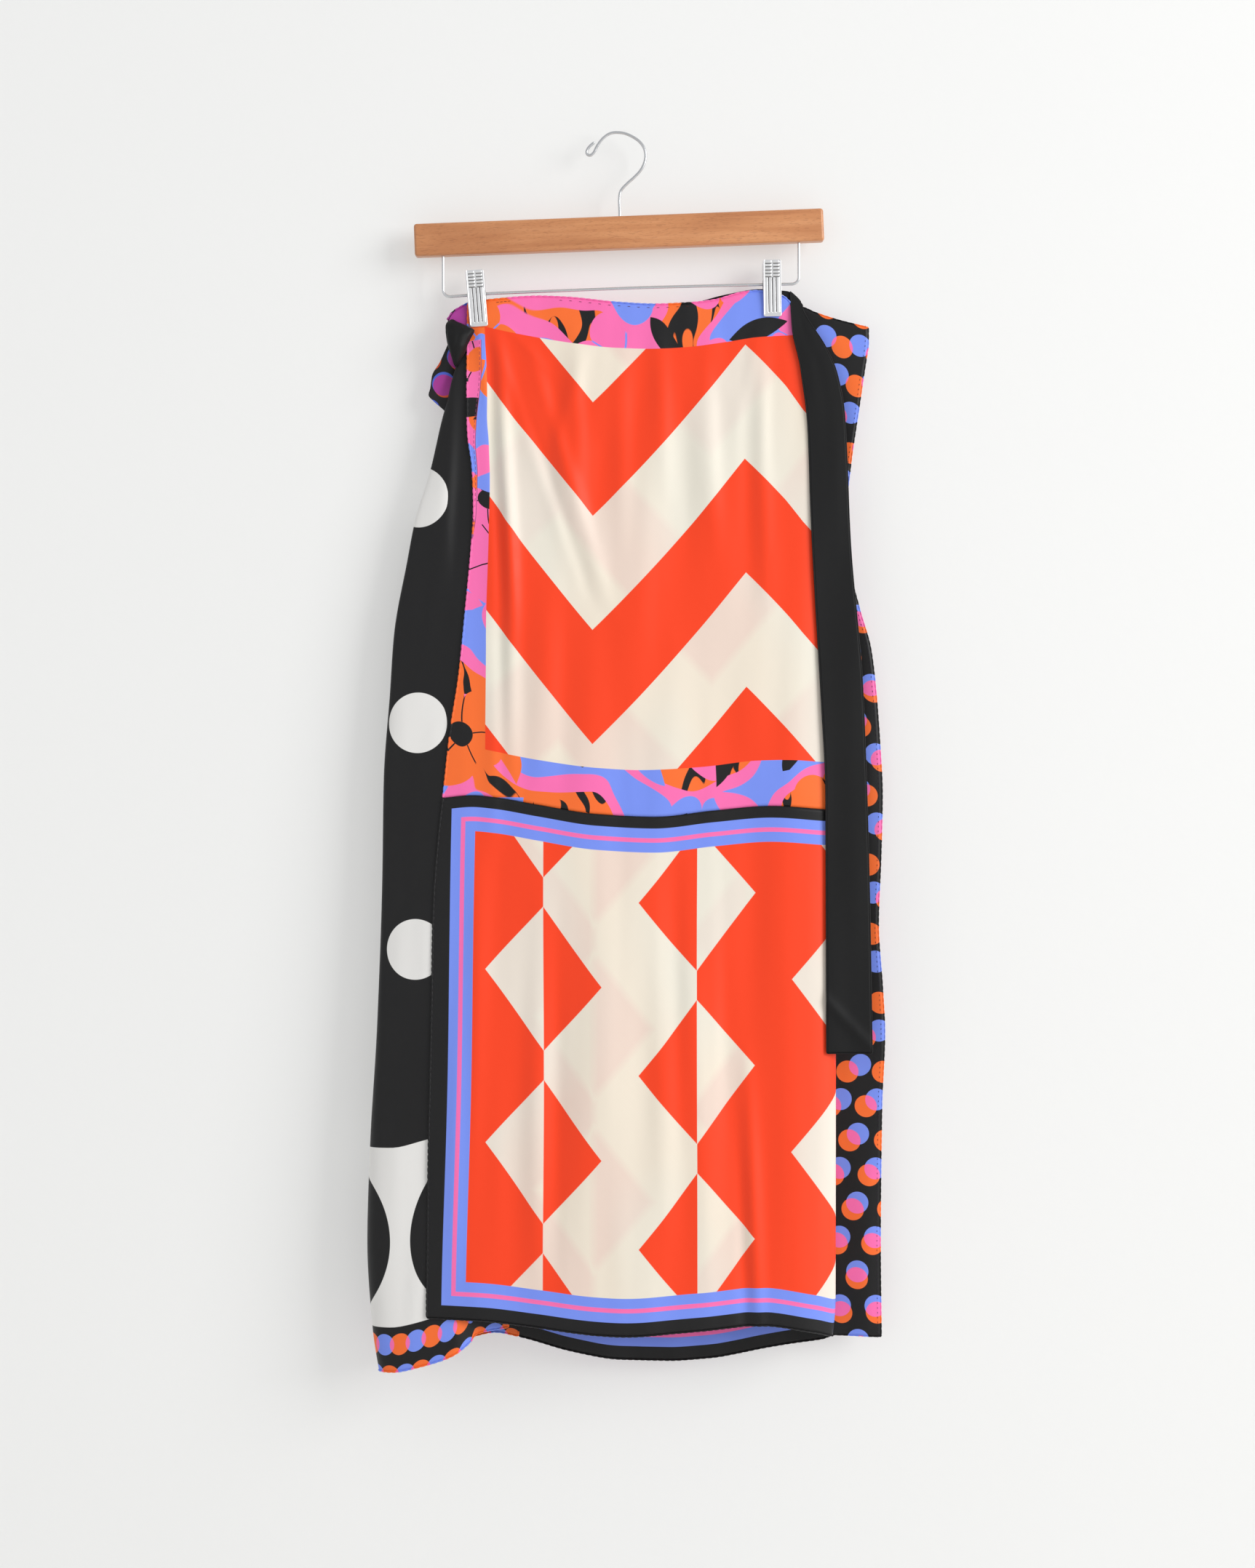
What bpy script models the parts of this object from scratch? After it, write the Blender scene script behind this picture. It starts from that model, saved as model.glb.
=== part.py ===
"""Wrap skirt pieced from scarves, held by its waist on a wooden clip hanger.

Sizes are in millimetres and are scaled to metres when a mesh is made. The origin is the underside of the
hook's crown, where the hanger hangs. +X is to the wearer's left, -Y is the front and +Z is up. A drop is a
height below the origin, so z is its negative.
"""

import math
from dataclasses import dataclass

import bmesh
import bpy
import numpy as np

MM = 0.001

# Cloth
WALL = 1.3
SEAM_GAP = 0.3
CLAMPED_DROP = 178.0  # the clips hold the layers flat down to here
HEM_DROP = 1044.0
OPENING_POWER = 0.8
TIGHTEST_BEND = 1.0
WIDEST_FOLD = 55.0

# Layers, as y at the waist and y at the hem
OUTER_FRONT = (-1.6, -22.0)
UNDER_FRONT = (0.0, -19.4)
BACK = (1.6, 18.5)
FLAP_LAYER = (3.2, 24.0)

# Edges that run across: x, drop
WAIST_EDGE = [
    (-146, 161), (-142, 155), (-135, 150.4), (-128, 147), (-112, 144.6), (-67, 141.3), (-42, 142.2),
    (2, 146.6), (34, 148.2), (60, 147.2), (85, 144.6), (110, 137.8), (123, 136.5), (136, 138),
    (147, 142), (153, 148), (163, 158),
]
PANEL_SEAM = [(-149, 577), (-124, 574.8), (-105, 576.4), (-67, 583), (-16, 591), (34, 593.4), (85, 588),
              (135, 584), (181, 587)]
FRONT_HEM = [(-163, 1025), (-117, 1027), (-67, 1033), (-16, 1039), (9, 1040), (72, 1036), (126, 1032),
             (173, 1039), (189, 1044)]
BACK_HEM = [(-205, 1074), (-180, 1071), (-150, 1063), (-121, 1048), (-105, 1045), (-85, 1049),
            (-42, 1060.5), (9, 1068), (47, 1069), (85, 1067), (135, 1057), (180, 1049), (189, 1044)]
SIDE_HEM = [(-205, 1074), (-193, 1073.5), (-168, 1067.5), (-143, 1059), (-125, 1046.5), (-121, 1041),
            (-92, 1035)]
FLAP_TOP = [(97, 150), (150, 149), (163, 150), (173, 154.2), (192, 160.5), (220, 167.5)]
FLAP_HEM = [(97, 1052), (190, 1049), (232, 1050)]
BAND_END = [(66, 170), (134, 170), (144, 139.5), (153, 147), (163, 156.5)]  # it turns up before the fold
BAND_TOP = [(66, 148), (97, 139.7), (126, 135.2), (145, 136.5), (150, 137.1), (157, 142.2), (163, 149)]

# Edges that run down: drop, x
FRONT_FREE_EDGE = [(148, -128), (185, -128.5), (241, -128.5), (265, -127.7), (295, -123.9), (332, -122.6),
                   (364, -124.5), (421, -129.6), (478, -135.2), (528, -142.8), (577, -148), (617, -152.5),
                   (680, -157), (768, -158.5), (895, -161), (1025, -162.3)]
RIGHT_FOLD = [(147, 158), (155, 162.4), (200, 173.8), (250, 180), (326, 184.5), (490, 189.6), (579, 190.9),
              (799, 191.2), (1011, 190.9), (1043, 188.5)]
LEFT_FOLD = [(150, -146), (162, -144), (181, -141), (197, -138.4), (214, -143.5), (238, -150.4),
             (285, -161.2), (326, -173.8), (362, -180.8), (427, -192.4), (478, -195.9), (554, -201.3),
             (642, -202.6), (768, -207), (878, -213.3), (958, -215.5), (1034, -210.8), (1074, -204.8)]
UNDER_LEFT_EDGE = [(150, -129), (170, -131), (185, -135), (197, -138.4)] + LEFT_FOLD[4:]
UNDER_INNER_EDGE = [(150, -100), (1036, -92)]
BACK_SEAM = [(147, -85), (1049, -85)]
FLAP_LEFT_EDGE = [(150, 97), (1052, 97)]
FLAP_RIGHT_EDGE = [(167, 220), (184, 217.4), (225, 211.7), (276, 204.8), (313, 201.6), (364, 204.1),
                   (399, 212.4), (434, 222.5), (465, 226.5), (516, 230.5), (566, 233), (617, 232),
                   (680, 229.8), (737, 233.5), (778, 235.5), (844, 233), (958, 232), (1050, 233)]
TIE_LEFT_EDGE = [(142, 151.7), (174, 153.6), (200, 160.5), (250, 166.8), (326, 169.4), (402, 173.2),
                 (490, 178.2), (573, 182), (798, 182.6)]
TIE_RIGHT_EDGE = [(142, 161), (149, 163.7), (180, 182.6), (203, 192.1), (238, 198.4), (351, 203.5),
                  (484, 214.2), (674, 219.9), (798, 221.8)]
TIE_DEPTH = [(138, -1.7), (146, -1.9), (152, -3.6), (200, -5.6), (250, -6.6), (400, -8.6), (575, -11.2),
             (798, -13)]
TIE_TOP, TIE_END = 142.0, 798.0
BAND_DEPTH = 0.0
BAND_LEFT_EDGE, BAND_RIGHT_EDGE = [(130, 66), (180, 66)], [(130, 163), (180, 163)]
BAND_ROWS = (140.0, 170.0)

# First and last drop at which the edges that run down are read
UPPER_ROWS, LOWER_ROWS = (147.0, 586.0), (586.0, 1042.0)
SIDE_ROWS, FLAP_ROWS = (150.0, 1070.0), (150.0, 1050.0)

# Flutes that open towards the hem: x at the waist, x at the hem, width, height at the hem
FRONT_FLUTES = [(-60, 5, 60, 6), (100, 124, 26, -3.5), (-112, -120, 28, 2.5)]
BACK_FLUTES = [(-40, -55, 34, 3), (60, 50, 45, 5), (120, 138, 24, -3), (-120, -150, 26, 3)]
# Creases, which are soft ridges: x and drop of one end, x and drop of the other, width, height
FRONT_CREASES = [(-99, 190, -99, 445, 10, 2.6), (-92, 196, -26, 395, 13, 2.8), (-4, 190, -8, 275, 14, 1.6),
                 (62, 195, 80, 340, 13, 1.6)]
# How far the hidden edge of the under panel swings back at the hem, and the x between which it does
UNDER_TURN = 11.0
UNDER_TURN_FROM, UNDER_TURN_TO = -140.0, -114.0
# The flap's even waves: their height at the hem and their length across
FLAP_WAVE, FLAP_WAVE_LENGTH = 2.0, 74.0

# Gathered knot at the hip: drop, middle x, half width, half thickness of each section
KNOT_SECTIONS = [(162.6, -141.5, 3, 1.5), (166, -139, 7.6, 3.5), (172, -135.2, 12, 5), (178, -135.7, 10.9, 6),
                 (185, -136.8, 8.6, 6), (191, -137, 6.6, 5), (197, -137.8, 3.8, 3.5), (202, -138.6, 1.3, 1.3)]
KNOT_BACK = -2.0
KNOT_RIDGES, KNOT_RIDGE = 5, 0.06
KNOT_SIDES = 16
# Its tail, a loop of cloth behind the side: drop, x
TAIL_LEFT_EDGE = [(180, -145), (197, -153), (209, -160), (220, -161.5), (226, -163), (231, -159), (238, -151),
                  (241, -148)]
TAIL_RIGHT_EDGE = [(180, -137), (241, -136)]
TAIL_ENDS = (180.0, 241.0)
TAIL_CLEAR, TAIL_BULGE = 1.7, 2.5

# Hanger
BAR = (355.4, 13.0, 28.2)  # length, thickness, height
BAR_CENTRE = (3.0, -86.3)
BAR_TILT = math.radians(2.19)
BAR_ROUND = 3.0
WIRE_RADIUS = 1.3
BORE_RADIUS = WIRE_RADIUS + SEAM_GAP
BORE_DEPTH = 13.0
# Points of the hook's centre line: x, z
HOOK_POINTS = [
    (3.8, -84), (3.7, -70), (3.3, -57), (4.6, -49.6), (9.6, -43.6), (16.6, -37.3), (22.2, -31), (25.4, -24),
    (26.1, -17.4), (24.4, -11.4), (20.4, -6.3), (14.6, -2.3), (7.6, 0.6), (0, 1.3), (-5.2, 0.2), (-9.6, -2.6),
    (-13.5, -6.8), (-16.5, -11.6), (-18.7, -15.9), (-21.5, -18.4), (-24.2, -18.0), (-25.1, -15.4),
    (-23.5, -12.0), (-20.8, -9.2), (-17.9, -7.0),
]
# Corners of the clip wire: x, z, bend radius
CLIP_WIRE_CORNERS = [(-149.8, -98, 0), (-149.8, -141.8, 6), (-107, -138.5, 60), (20, -133.6, 300),
                     (115, -131.1, 300), (159.3, -130.3, 6), (159.3, -86, 0)]


@dataclass(frozen=True)
class Clip:
    """One clip: where it hangs on the wire, its lean, and how thick the cloth is before and behind it."""

    name: str
    x: float
    z: float
    lean: float
    front: float
    back: float


CLIPS = [
    Clip("left_clip", -120.7, -139.56, math.radians(4.4), 2.25, 2.25),
    Clip("right_clip", 135.9, -130.72, math.radians(1.0), 2.25, 3.85),
]
JAW_WIDTH, JAW_THICK = 16.0, 1.0
# Side of a jaw: height above the wire, distance from the middle where it doesn't touch the cloth
JAW_LEVER = [(20.0, 8.0), (9.0, 5.8), (0.0, 4.3), (-9.0, 4.0)]
JAW_GRIP = (-18.0, -27.0)
JAW_LIP = (-28.4, 0.7)
EAR_THICK, EAR_HALF_HEIGHT, EAR_REACH = 0.9, 3.2, 2.4
SPRING_RADIUS, SPRING_HALF_LENGTH, SPRING_SIDES = 2.9, 3.6, 14

# Colours as red, green, blue, roughness, metallic
PRINT_RED = (0.90, 0.10, 0.03, 0.55, 0.0)
BORDER_BLUE = (0.20, 0.30, 0.90, 0.55, 0.0)
BLOCK_WHITE = (0.80, 0.80, 0.78, 0.55, 0.0)
CLOTH_BLACK = (0.02, 0.02, 0.02, 0.6, 0.0)
DOT_ORANGE = (0.95, 0.24, 0.06, 0.55, 0.0)
WOOD = (0.55, 0.28, 0.13, 0.45, 0.0)
CHROME = (0.75, 0.75, 0.77, 0.2, 1.0)

SHARP_ANGLE = math.radians(50)


def curve(table, at):
    """Reads a table of (place, value) rows at any places, on a smooth curve that never overshoots."""
    place, value = np.array(table, float).T
    step = np.diff(place)
    slope = np.diff(value) / step
    total = slope[:-1] + slope[1:]
    same_way = slope[:-1] * slope[1:] > 0
    middle = np.where(same_way, 2 * slope[:-1] * slope[1:] / np.where(same_way, total, 1), 0)
    tangent = np.concatenate([slope[:1], middle, slope[-1:]])
    at = np.clip(at, place[0], place[-1])
    i = np.clip(np.searchsorted(place, at, side="right") - 1, 0, len(step) - 1)
    t = (at - place[i]) / step[i]
    return (
        (1 + 2 * t) * (1 - t) ** 2 * value[i]
        + t * (1 - t) ** 2 * step[i] * tangent[i]
        + t**2 * (3 - 2 * t) * value[i + 1]
        + t**2 * (t - 1) * step[i] * tangent[i + 1]
    )


def opening(drop):
    """How far the tube has opened: 0 down to the clips' lips, 1 at the hem."""
    return np.clip((drop - CLAMPED_DROP) / (HEM_DROP - CLAMPED_DROP), 0, 1.1) ** OPENING_POWER


def layer_depth(layer, drop):
    """The y of a layer, which moves out from the waist to the hem."""
    return layer[0] + (layer[1] - layer[0]) * opening(drop)


def relief(flutes, creases, x, drop):
    """Height of the folds above the plain layer. Each is a bell across its own line."""
    open_share = opening(drop)
    height = np.zeros_like(x)
    for waist_x, hem_x, width, tall in flutes:
        line = waist_x + (hem_x - waist_x) * open_share
        height += tall * open_share * np.exp(-(((x - line) / width) ** 2))
    for x0, drop0, x1, drop1, width, tall in creases:
        along = np.clip((drop - drop0) / (drop1 - drop0), 0, 1)
        line = x0 + (x1 - x0) * along
        height += tall * np.sin(math.pi * along) * np.exp(-(((x - line) / width) ** 2))
    return height


def material(name, look):
    made = bpy.data.materials.new(name)
    made.use_nodes = True
    shader = made.node_tree.nodes["Principled BSDF"]
    shader.inputs["Base Color"].default_value = (*look[:3], 1)
    shader.inputs["Roughness"].default_value = look[3]
    shader.inputs["Metallic"].default_value = look[4]
    made.diffuse_color = (*look[:3], 1)
    return made


def add_object(name, data, look):
    data.materials.append(material(name, look))
    made = bpy.data.objects.new(name, data)
    bpy.context.scene.collection.objects.link(made)
    return made


def closed_mesh(name, points, faces, look, smooth=True):
    """An object whose faces point out, from points in millimetres."""
    mesh = bpy.data.meshes.new(name)
    mesh.from_pydata((np.asarray(points) * MM).tolist(), [], faces)
    shape = bmesh.new()
    shape.from_mesh(mesh)
    bmesh.ops.recalc_face_normals(shape, faces=shape.faces)
    shape.to_mesh(mesh)
    shape.free()
    if smooth:
        mesh.shade_smooth()
        mesh.set_sharp_from_angle(angle=SHARP_ANGLE)
    return add_object(name, mesh, look)


def wall(name, outer, inner, look, smooth=True):
    """A closed wall between two grids of points, rows x columns x 3, joined along their four edges."""
    rows, columns = outer.shape[:2]
    index = np.arange(rows * columns).reshape(rows, columns)
    back = index + rows * columns
    faces = [
        face
        for r in range(rows - 1)
        for c in range(columns - 1)
        for face in (
            (index[r, c], index[r, c + 1], index[r + 1, c + 1], index[r + 1, c]),
            (back[r, c], back[r + 1, c], back[r + 1, c + 1], back[r, c + 1]),
        )
    ]
    edge = np.concatenate([index[0], index[1:, -1], index[-1, -2::-1], index[-2:0:-1, 0]])
    for a, b in zip(edge, np.roll(edge, -1)):
        faces.append((a, b, b + rows * columns, a + rows * columns))
    points = np.concatenate([outer.reshape(-1, 3), inner.reshape(-1, 3)])
    return closed_mesh(name, points, [tuple(int(i) for i in face) for face in faces], look, smooth)


@dataclass(frozen=True)
class FoldedPanel:
    """Cloth that runs from a plain edge to a fold, where it turns in an elliptical quarter round.

    top and bottom are its edges across; rows are the drops that the plain and folded edges are read at.
    layer is its own depth and other the depth of the layer that the fold joins it to. to_right says that
    the fold is its +X edge.
    """

    name: str
    look: tuple
    top: list
    bottom: list
    rows: tuple
    plain_edge: list
    fold_edge: list
    layer: tuple
    other: tuple
    to_right: bool
    flutes: list
    creases: list
    columns: int
    fold_columns: int
    row_count: int
    top_gap: float = 0.0
    turn: float = 0.0


def folded_panel_side(panel, offset):
    """Grid of points on the outer or inner face of a panel, offset from its middle."""
    share = np.linspace(0, 1, panel.row_count)[:, None]
    row = panel.rows[0] + (panel.rows[1] - panel.rows[0]) * share
    right = 1 if panel.to_right else -1
    fold_x = curve(panel.fold_edge, row)
    plain_x = curve(panel.plain_edge, row)
    bulge = abs(layer_depth(panel.layer, row) - layer_depth(panel.other, row)) / 2 - SEAM_GAP / 2
    length = np.minimum(np.maximum(bulge**2 / TIGHTEST_BEND, bulge), WIDEST_FOLD)
    angle = np.linspace(0, math.pi / 2, panel.fold_columns + 1)[None, :]
    fold_part = fold_x + right * ((length + offset) * np.cos(angle) - length)
    along = np.linspace(0, 1, panel.columns + 1)[None, 1:]
    flat_start = fold_x - right * length
    flat_part = flat_start + (plain_x - flat_start) * along
    x = np.concatenate([fold_part, flat_part], axis=1)
    out = np.concatenate([np.sin(angle), np.ones_like(along)], axis=1) * np.ones_like(row)
    top = curve(panel.top, x) + panel.top_gap
    drop = top + (curve(panel.bottom, x) - top) * share
    own, other = layer_depth(panel.layer, drop), layer_depth(panel.other, drop)
    outward = np.sign(panel.layer[1])
    middle = (own + other) / 2
    rise = abs(own - other) / 2 - SEAM_GAP / 2
    y = middle + outward * (SEAM_GAP / 2 + (rise + offset) * out)
    y += outward * out * relief(panel.flutes, panel.creases, x, drop)
    if panel.turn:
        swing = np.clip((x - UNDER_TURN_FROM) / (UNDER_TURN_TO - UNDER_TURN_FROM), 0, 1)
        y += panel.turn * opening(drop) ** 3 * swing**2 * (3 - 2 * swing)
    return np.stack([x, y, -drop], axis=-1)


def folded_panel(panel):
    outer = folded_panel_side(panel, WALL / 2)
    inner = folded_panel_side(panel, -WALL / 2)
    return wall(panel.name, outer, inner, panel.look)


def flat_panel(name, look, left, right, top, bottom, rows, depth, shape):
    """Cloth with four plain edges. depth gives y at x and drop; shape is its rows and columns."""
    share = np.linspace(0, 1, shape[0])[:, None]
    row = rows[0] + (rows[1] - rows[0]) * share
    across = np.linspace(0, 1, shape[1])[None, :]
    x = curve(left, row) + (curve(right, row) - curve(left, row)) * across
    drop = top(x) + (bottom(x) - top(x)) * share
    y = depth(x, drop)
    faces = [np.stack([x, y + offset, -drop], axis=-1) for offset in (-WALL / 2, WALL / 2)]
    return wall(name, faces[0], faces[1], look)


def build_skirt():
    """Six panels make the wrapped tube: two scarves above each other, and one down the side."""
    scarves = dict(
        plain_edge=FRONT_FREE_EDGE, fold_edge=RIGHT_FOLD, layer=OUTER_FRONT, other=BACK, to_right=True,
        flutes=FRONT_FLUTES, creases=FRONT_CREASES, columns=17, fold_columns=5,
    )
    backs = scarves | dict(
        plain_edge=BACK_SEAM, layer=BACK, other=OUTER_FRONT, flutes=BACK_FLUTES, creases=[], columns=10,
    )
    sides = dict(
        rows=SIDE_ROWS, fold_edge=LEFT_FOLD, to_right=False, fold_columns=5, look=BLOCK_WHITE, row_count=30,
    )
    upper = dict(look=PRINT_RED, top=WAIST_EDGE, bottom=PANEL_SEAM, rows=UPPER_ROWS)
    lower = dict(look=BORDER_BLUE, top=PANEL_SEAM, rows=LOWER_ROWS, top_gap=SEAM_GAP)
    left_back_seam = [(drop, x - SEAM_GAP) for drop, x in BACK_SEAM]
    for panel in (
        FoldedPanel(name="upper_scarf_front", **upper, **scarves, row_count=17),
        FoldedPanel(name="lower_scarf_front", bottom=FRONT_HEM, **lower, **scarves, row_count=13),
        FoldedPanel(name="upper_scarf_back", **upper, **backs, row_count=12),
        FoldedPanel(name="lower_scarf_back", bottom=BACK_HEM, **lower, **backs, row_count=11),
        FoldedPanel(
            name="side_scarf_back", **sides, top=WAIST_EDGE, bottom=BACK_HEM, plain_edge=left_back_seam,
            layer=BACK, other=UNDER_FRONT, flutes=BACK_FLUTES, creases=[], columns=4,
        ),
        FoldedPanel(
            name="side_scarf_front", **(sides | dict(fold_edge=UNDER_LEFT_EDGE)), top=WAIST_EDGE,
            bottom=SIDE_HEM, plain_edge=UNDER_INNER_EDGE, layer=UNDER_FRONT, other=BACK,
            flutes=FRONT_FLUTES, creases=[], columns=9, turn=UNDER_TURN,
        ),
    ):
        folded_panel(panel)


def build_flap():
    """The dotted flap hangs free behind the right side, in even waves that deepen towards its hem."""

    def depth(x, drop):
        wave = np.sin(2 * math.pi * (x - FLAP_LEFT_EDGE[0][1]) / FLAP_WAVE_LENGTH)
        return layer_depth(FLAP_LAYER, drop) + FLAP_WAVE * opening(drop) * wave

    flat_panel(
        "dotted_flap", DOT_ORANGE, FLAP_LEFT_EDGE, FLAP_RIGHT_EDGE, lambda x: curve(FLAP_TOP, x),
        lambda x: curve(FLAP_HEM, x), FLAP_ROWS, depth, (26, 9),
    )


def build_tie():
    """The sash lies flat behind the front's waist, and falls free in front at its end."""
    flat_panel(
        "tie_band", CLOTH_BLACK, BAND_LEFT_EDGE, BAND_RIGHT_EDGE, lambda x: curve(BAND_TOP, x),
        lambda x: curve(BAND_END, x), BAND_ROWS, lambda x, drop: np.full_like(x, BAND_DEPTH), (3, 20),
    )
    flat_panel(
        "tie_fall", CLOTH_BLACK, TIE_LEFT_EDGE, TIE_RIGHT_EDGE, lambda x: curve(BAND_TOP, x),
        lambda x: np.full_like(x, TIE_END), (TIE_TOP, TIE_END), lambda x, drop: curve(TIE_DEPTH, drop),
        (44, 4),
    )


def build_knot():
    """The knot is a tapering bunch with ridges along it, and its tail a bulging flap behind the side."""
    drop, middle, half_x, half_y = np.array(KNOT_SECTIONS, float).T[:, :, None]
    turn = np.linspace(0, 2 * math.pi, KNOT_SIDES, endpoint=False)[None, :]
    swell = 1 - KNOT_RIDGE * (1 - np.cos(KNOT_RIDGES * turn))
    x = middle + half_x * swell * np.cos(turn)
    y = KNOT_BACK - half_y + half_y * swell * np.sin(turn)
    points = np.stack([x, y, -drop + 0 * x], axis=-1)
    rows, count = x.shape
    faces = [tuple(range(count)), tuple(range((rows - 1) * count, rows * count))]
    for r in range(rows - 1):
        for i in range(count):
            j = (i + 1) % count
            faces.append((r * count + i, r * count + j, (r + 1) * count + j, (r + 1) * count + i))
    closed_mesh("hip_knot", points.reshape(-1, 3), faces, CLOTH_BLACK)

    def depth(x, drop):
        bulge = np.sin(math.pi * (drop - TAIL_ENDS[0]) / (TAIL_ENDS[1] - TAIL_ENDS[0]))
        return layer_depth(BACK, drop) + relief(BACK_FLUTES, [], x, drop) + TAIL_CLEAR + TAIL_BULGE * bulge

    flat_panel(
        "knot_tail", DOT_ORANGE, TAIL_LEFT_EDGE, TAIL_RIGHT_EDGE, lambda x: np.full_like(x, TAIL_ENDS[0]),
        lambda x: np.full_like(x, TAIL_ENDS[1]), TAIL_ENDS, depth, (9, 5),
    )


def smooth_path(points, samples):
    """Points on a Catmull-Rom curve through the given ones, with so many samples to each stretch."""
    p = np.array(points, float)
    p = np.concatenate([2 * p[:1] - p[1:2], p, 2 * p[-1:] - p[-2:-1]])
    t = np.linspace(0, 1, samples, endpoint=False)[:, None]
    out = [
        0.5 * (2 * b + (c - a) * t + (2 * a - 5 * b + 4 * c - d) * t**2 + (3 * b - a - 3 * c + d) * t**3)
        for a, b, c, d in zip(p, p[1:], p[2:], p[3:])
    ]
    return np.concatenate(out + [p[-2:-1]])


def bent_path(corners, steps=6):
    """Straight runs between corners, each rounded by an arc of its own radius."""
    out = [np.array(corners[0][:2])]
    for before, corner, after in zip(corners, corners[1:], corners[2:]):
        at, radius = np.array(corner[:2]), corner[2]
        to_start = np.array(before[:2]) - at
        to_end = np.array(after[:2]) - at
        to_start /= np.linalg.norm(to_start)
        to_end /= np.linalg.norm(to_end)
        half = math.acos(np.clip(to_start @ to_end, -1, 1)) / 2
        centre = at + (to_start + to_end) / np.linalg.norm(to_start + to_end) * radius / math.sin(half)
        start = at + to_start * radius / math.tan(half) - centre
        end = at + to_end * radius / math.tan(half) - centre
        sweep = math.atan2(start[0] * end[1] - start[1] * end[0], start @ end)
        for angle in np.linspace(0, sweep, steps):
            c, s = math.cos(angle), math.sin(angle)
            out.append(centre + np.array([c * start[0] - s * start[1], s * start[0] + c * start[1]]))
    return np.array(out + [np.array(corners[-1][:2])])


def wire(name, path):
    """A round wire along a path of x and z."""
    data = bpy.data.curves.new(name, "CURVE")
    data.dimensions = "3D"
    data.bevel_depth = WIRE_RADIUS * MM
    data.bevel_resolution = 2
    data.use_fill_caps = True
    spline = data.splines.new("POLY")
    spline.points.add(len(path) - 1)
    for point, (x, z) in zip(spline.points, path):
        point.co = (x * MM, 0, z * MM, 1)
    return add_object(name, data, CHROME)


def box_mesh(size, centre):
    mesh = bpy.data.meshes.new("box")
    shape = bmesh.new()
    bmesh.ops.create_cube(shape, size=1)
    for point in shape.verts:
        point.co = [(c + p * s) * MM for c, p, s in zip(centre, point.co, size)]
    shape.to_mesh(mesh)
    shape.free()
    return mesh


def helper(name, mesh):
    """An object that only cuts or joins others."""
    made = bpy.data.objects.new(name, mesh)
    made.hide_render = True
    made.display_type = "WIRE"
    bpy.context.scene.collection.objects.link(made)
    return made


def rod_helper(name, radius, length, centre, along_x=False):
    """A round cutter along Z or X."""
    mesh = bpy.data.meshes.new(name)
    shape = bmesh.new()
    bmesh.ops.create_cone(
        shape, cap_ends=True, segments=12, radius1=radius * MM, radius2=radius * MM, depth=length * MM
    )
    for point in shape.verts:
        x, y, z = point.co
        point.co = (z, y, -x) if along_x else (x, y, z)
        point.co += type(point.co)(c * MM for c in centre)
    shape.to_mesh(mesh)
    shape.free()
    return helper(name, mesh)


def boolean(target, tool, operation):
    modifier = target.modifiers.new(operation.lower(), "BOOLEAN")
    modifier.operation = operation
    modifier.object = tool


def build_hanger():
    """The bar is bored for the hook's shank above and for the clip wire's two ends below."""
    bar = add_object("hanger_bar", box_mesh(BAR, (0, 0, 0)), WOOD)
    bar.location = (BAR_CENTRE[0] * MM, 0, BAR_CENTRE[1] * MM)
    bar.rotation_euler = (0, -BAR_TILT, 0)
    bevel = bar.modifiers.new("rounding", "BEVEL")
    bevel.width = BAR_ROUND * MM
    bevel.segments = 3
    half = BAR[2] / 2 / math.cos(BAR_TILT)
    for name, x, side in (
        ("hook_bore", HOOK_POINTS[0][0], 1),
        ("left_wire_bore", CLIP_WIRE_CORNERS[0][0], -1),
        ("right_wire_bore", CLIP_WIRE_CORNERS[-1][0], -1),
    ):
        face = BAR_CENTRE[1] + (x - BAR_CENTRE[0]) * math.tan(BAR_TILT) + side * half
        boolean(bar, rod_helper(name, BORE_RADIUS, 2 * BORE_DEPTH, (x, 0, face)), "DIFFERENCE")
    wire("hook_wire", smooth_path(HOOK_POINTS, 3))
    wire("clip_wire", bent_path(CLIP_WIRE_CORNERS))


def build_jaw(clip, name, side, face, ear_x):
    """A sheet metal jaw with two ears round the wire. side is -1 for the front jaw and 1 for the back one."""
    grip = face + SEAM_GAP
    profile = JAW_LEVER + [(z, grip) for z in JAW_GRIP] + [(JAW_LIP[0], grip + JAW_LIP[1])]
    z, inner = np.array(profile).T[:, :, None]
    x = np.array([[-JAW_WIDTH / 2, JAW_WIDTH / 2]])
    near = np.stack(np.broadcast_arrays(x, side * inner, z), axis=-1)
    far = np.stack(np.broadcast_arrays(x, side * (inner + JAW_THICK), z), axis=-1)
    jaw = wall(f"{clip.name}_{name}_jaw", near, far, CHROME, smooth=False)
    hinge = dict(JAW_LEVER)[0.0]
    ear_depth = hinge + JAW_THICK / 2 + EAR_REACH
    ear_y = side * (hinge + JAW_THICK / 2 - ear_depth / 2)
    for end in (-1, 1):
        ear = box_mesh((EAR_THICK, ear_depth, 2 * EAR_HALF_HEIGHT), (end * (ear_x - EAR_THICK / 2), ear_y, 0))
        boolean(jaw, place_on(clip, helper(f"{jaw.name}_ear_{end}", ear)), "UNION")
    bore = rod_helper(f"{jaw.name}_bore", BORE_RADIUS, 2 * JAW_WIDTH, (0, 0, 0), along_x=True)
    boolean(jaw, place_on(clip, bore), "DIFFERENCE")
    place_on(clip, jaw)


def place_on(clip, made):
    made.location = (clip.x * MM, 0, clip.z * MM)
    made.rotation_euler = (0, -clip.lean, 0)
    return made


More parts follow.
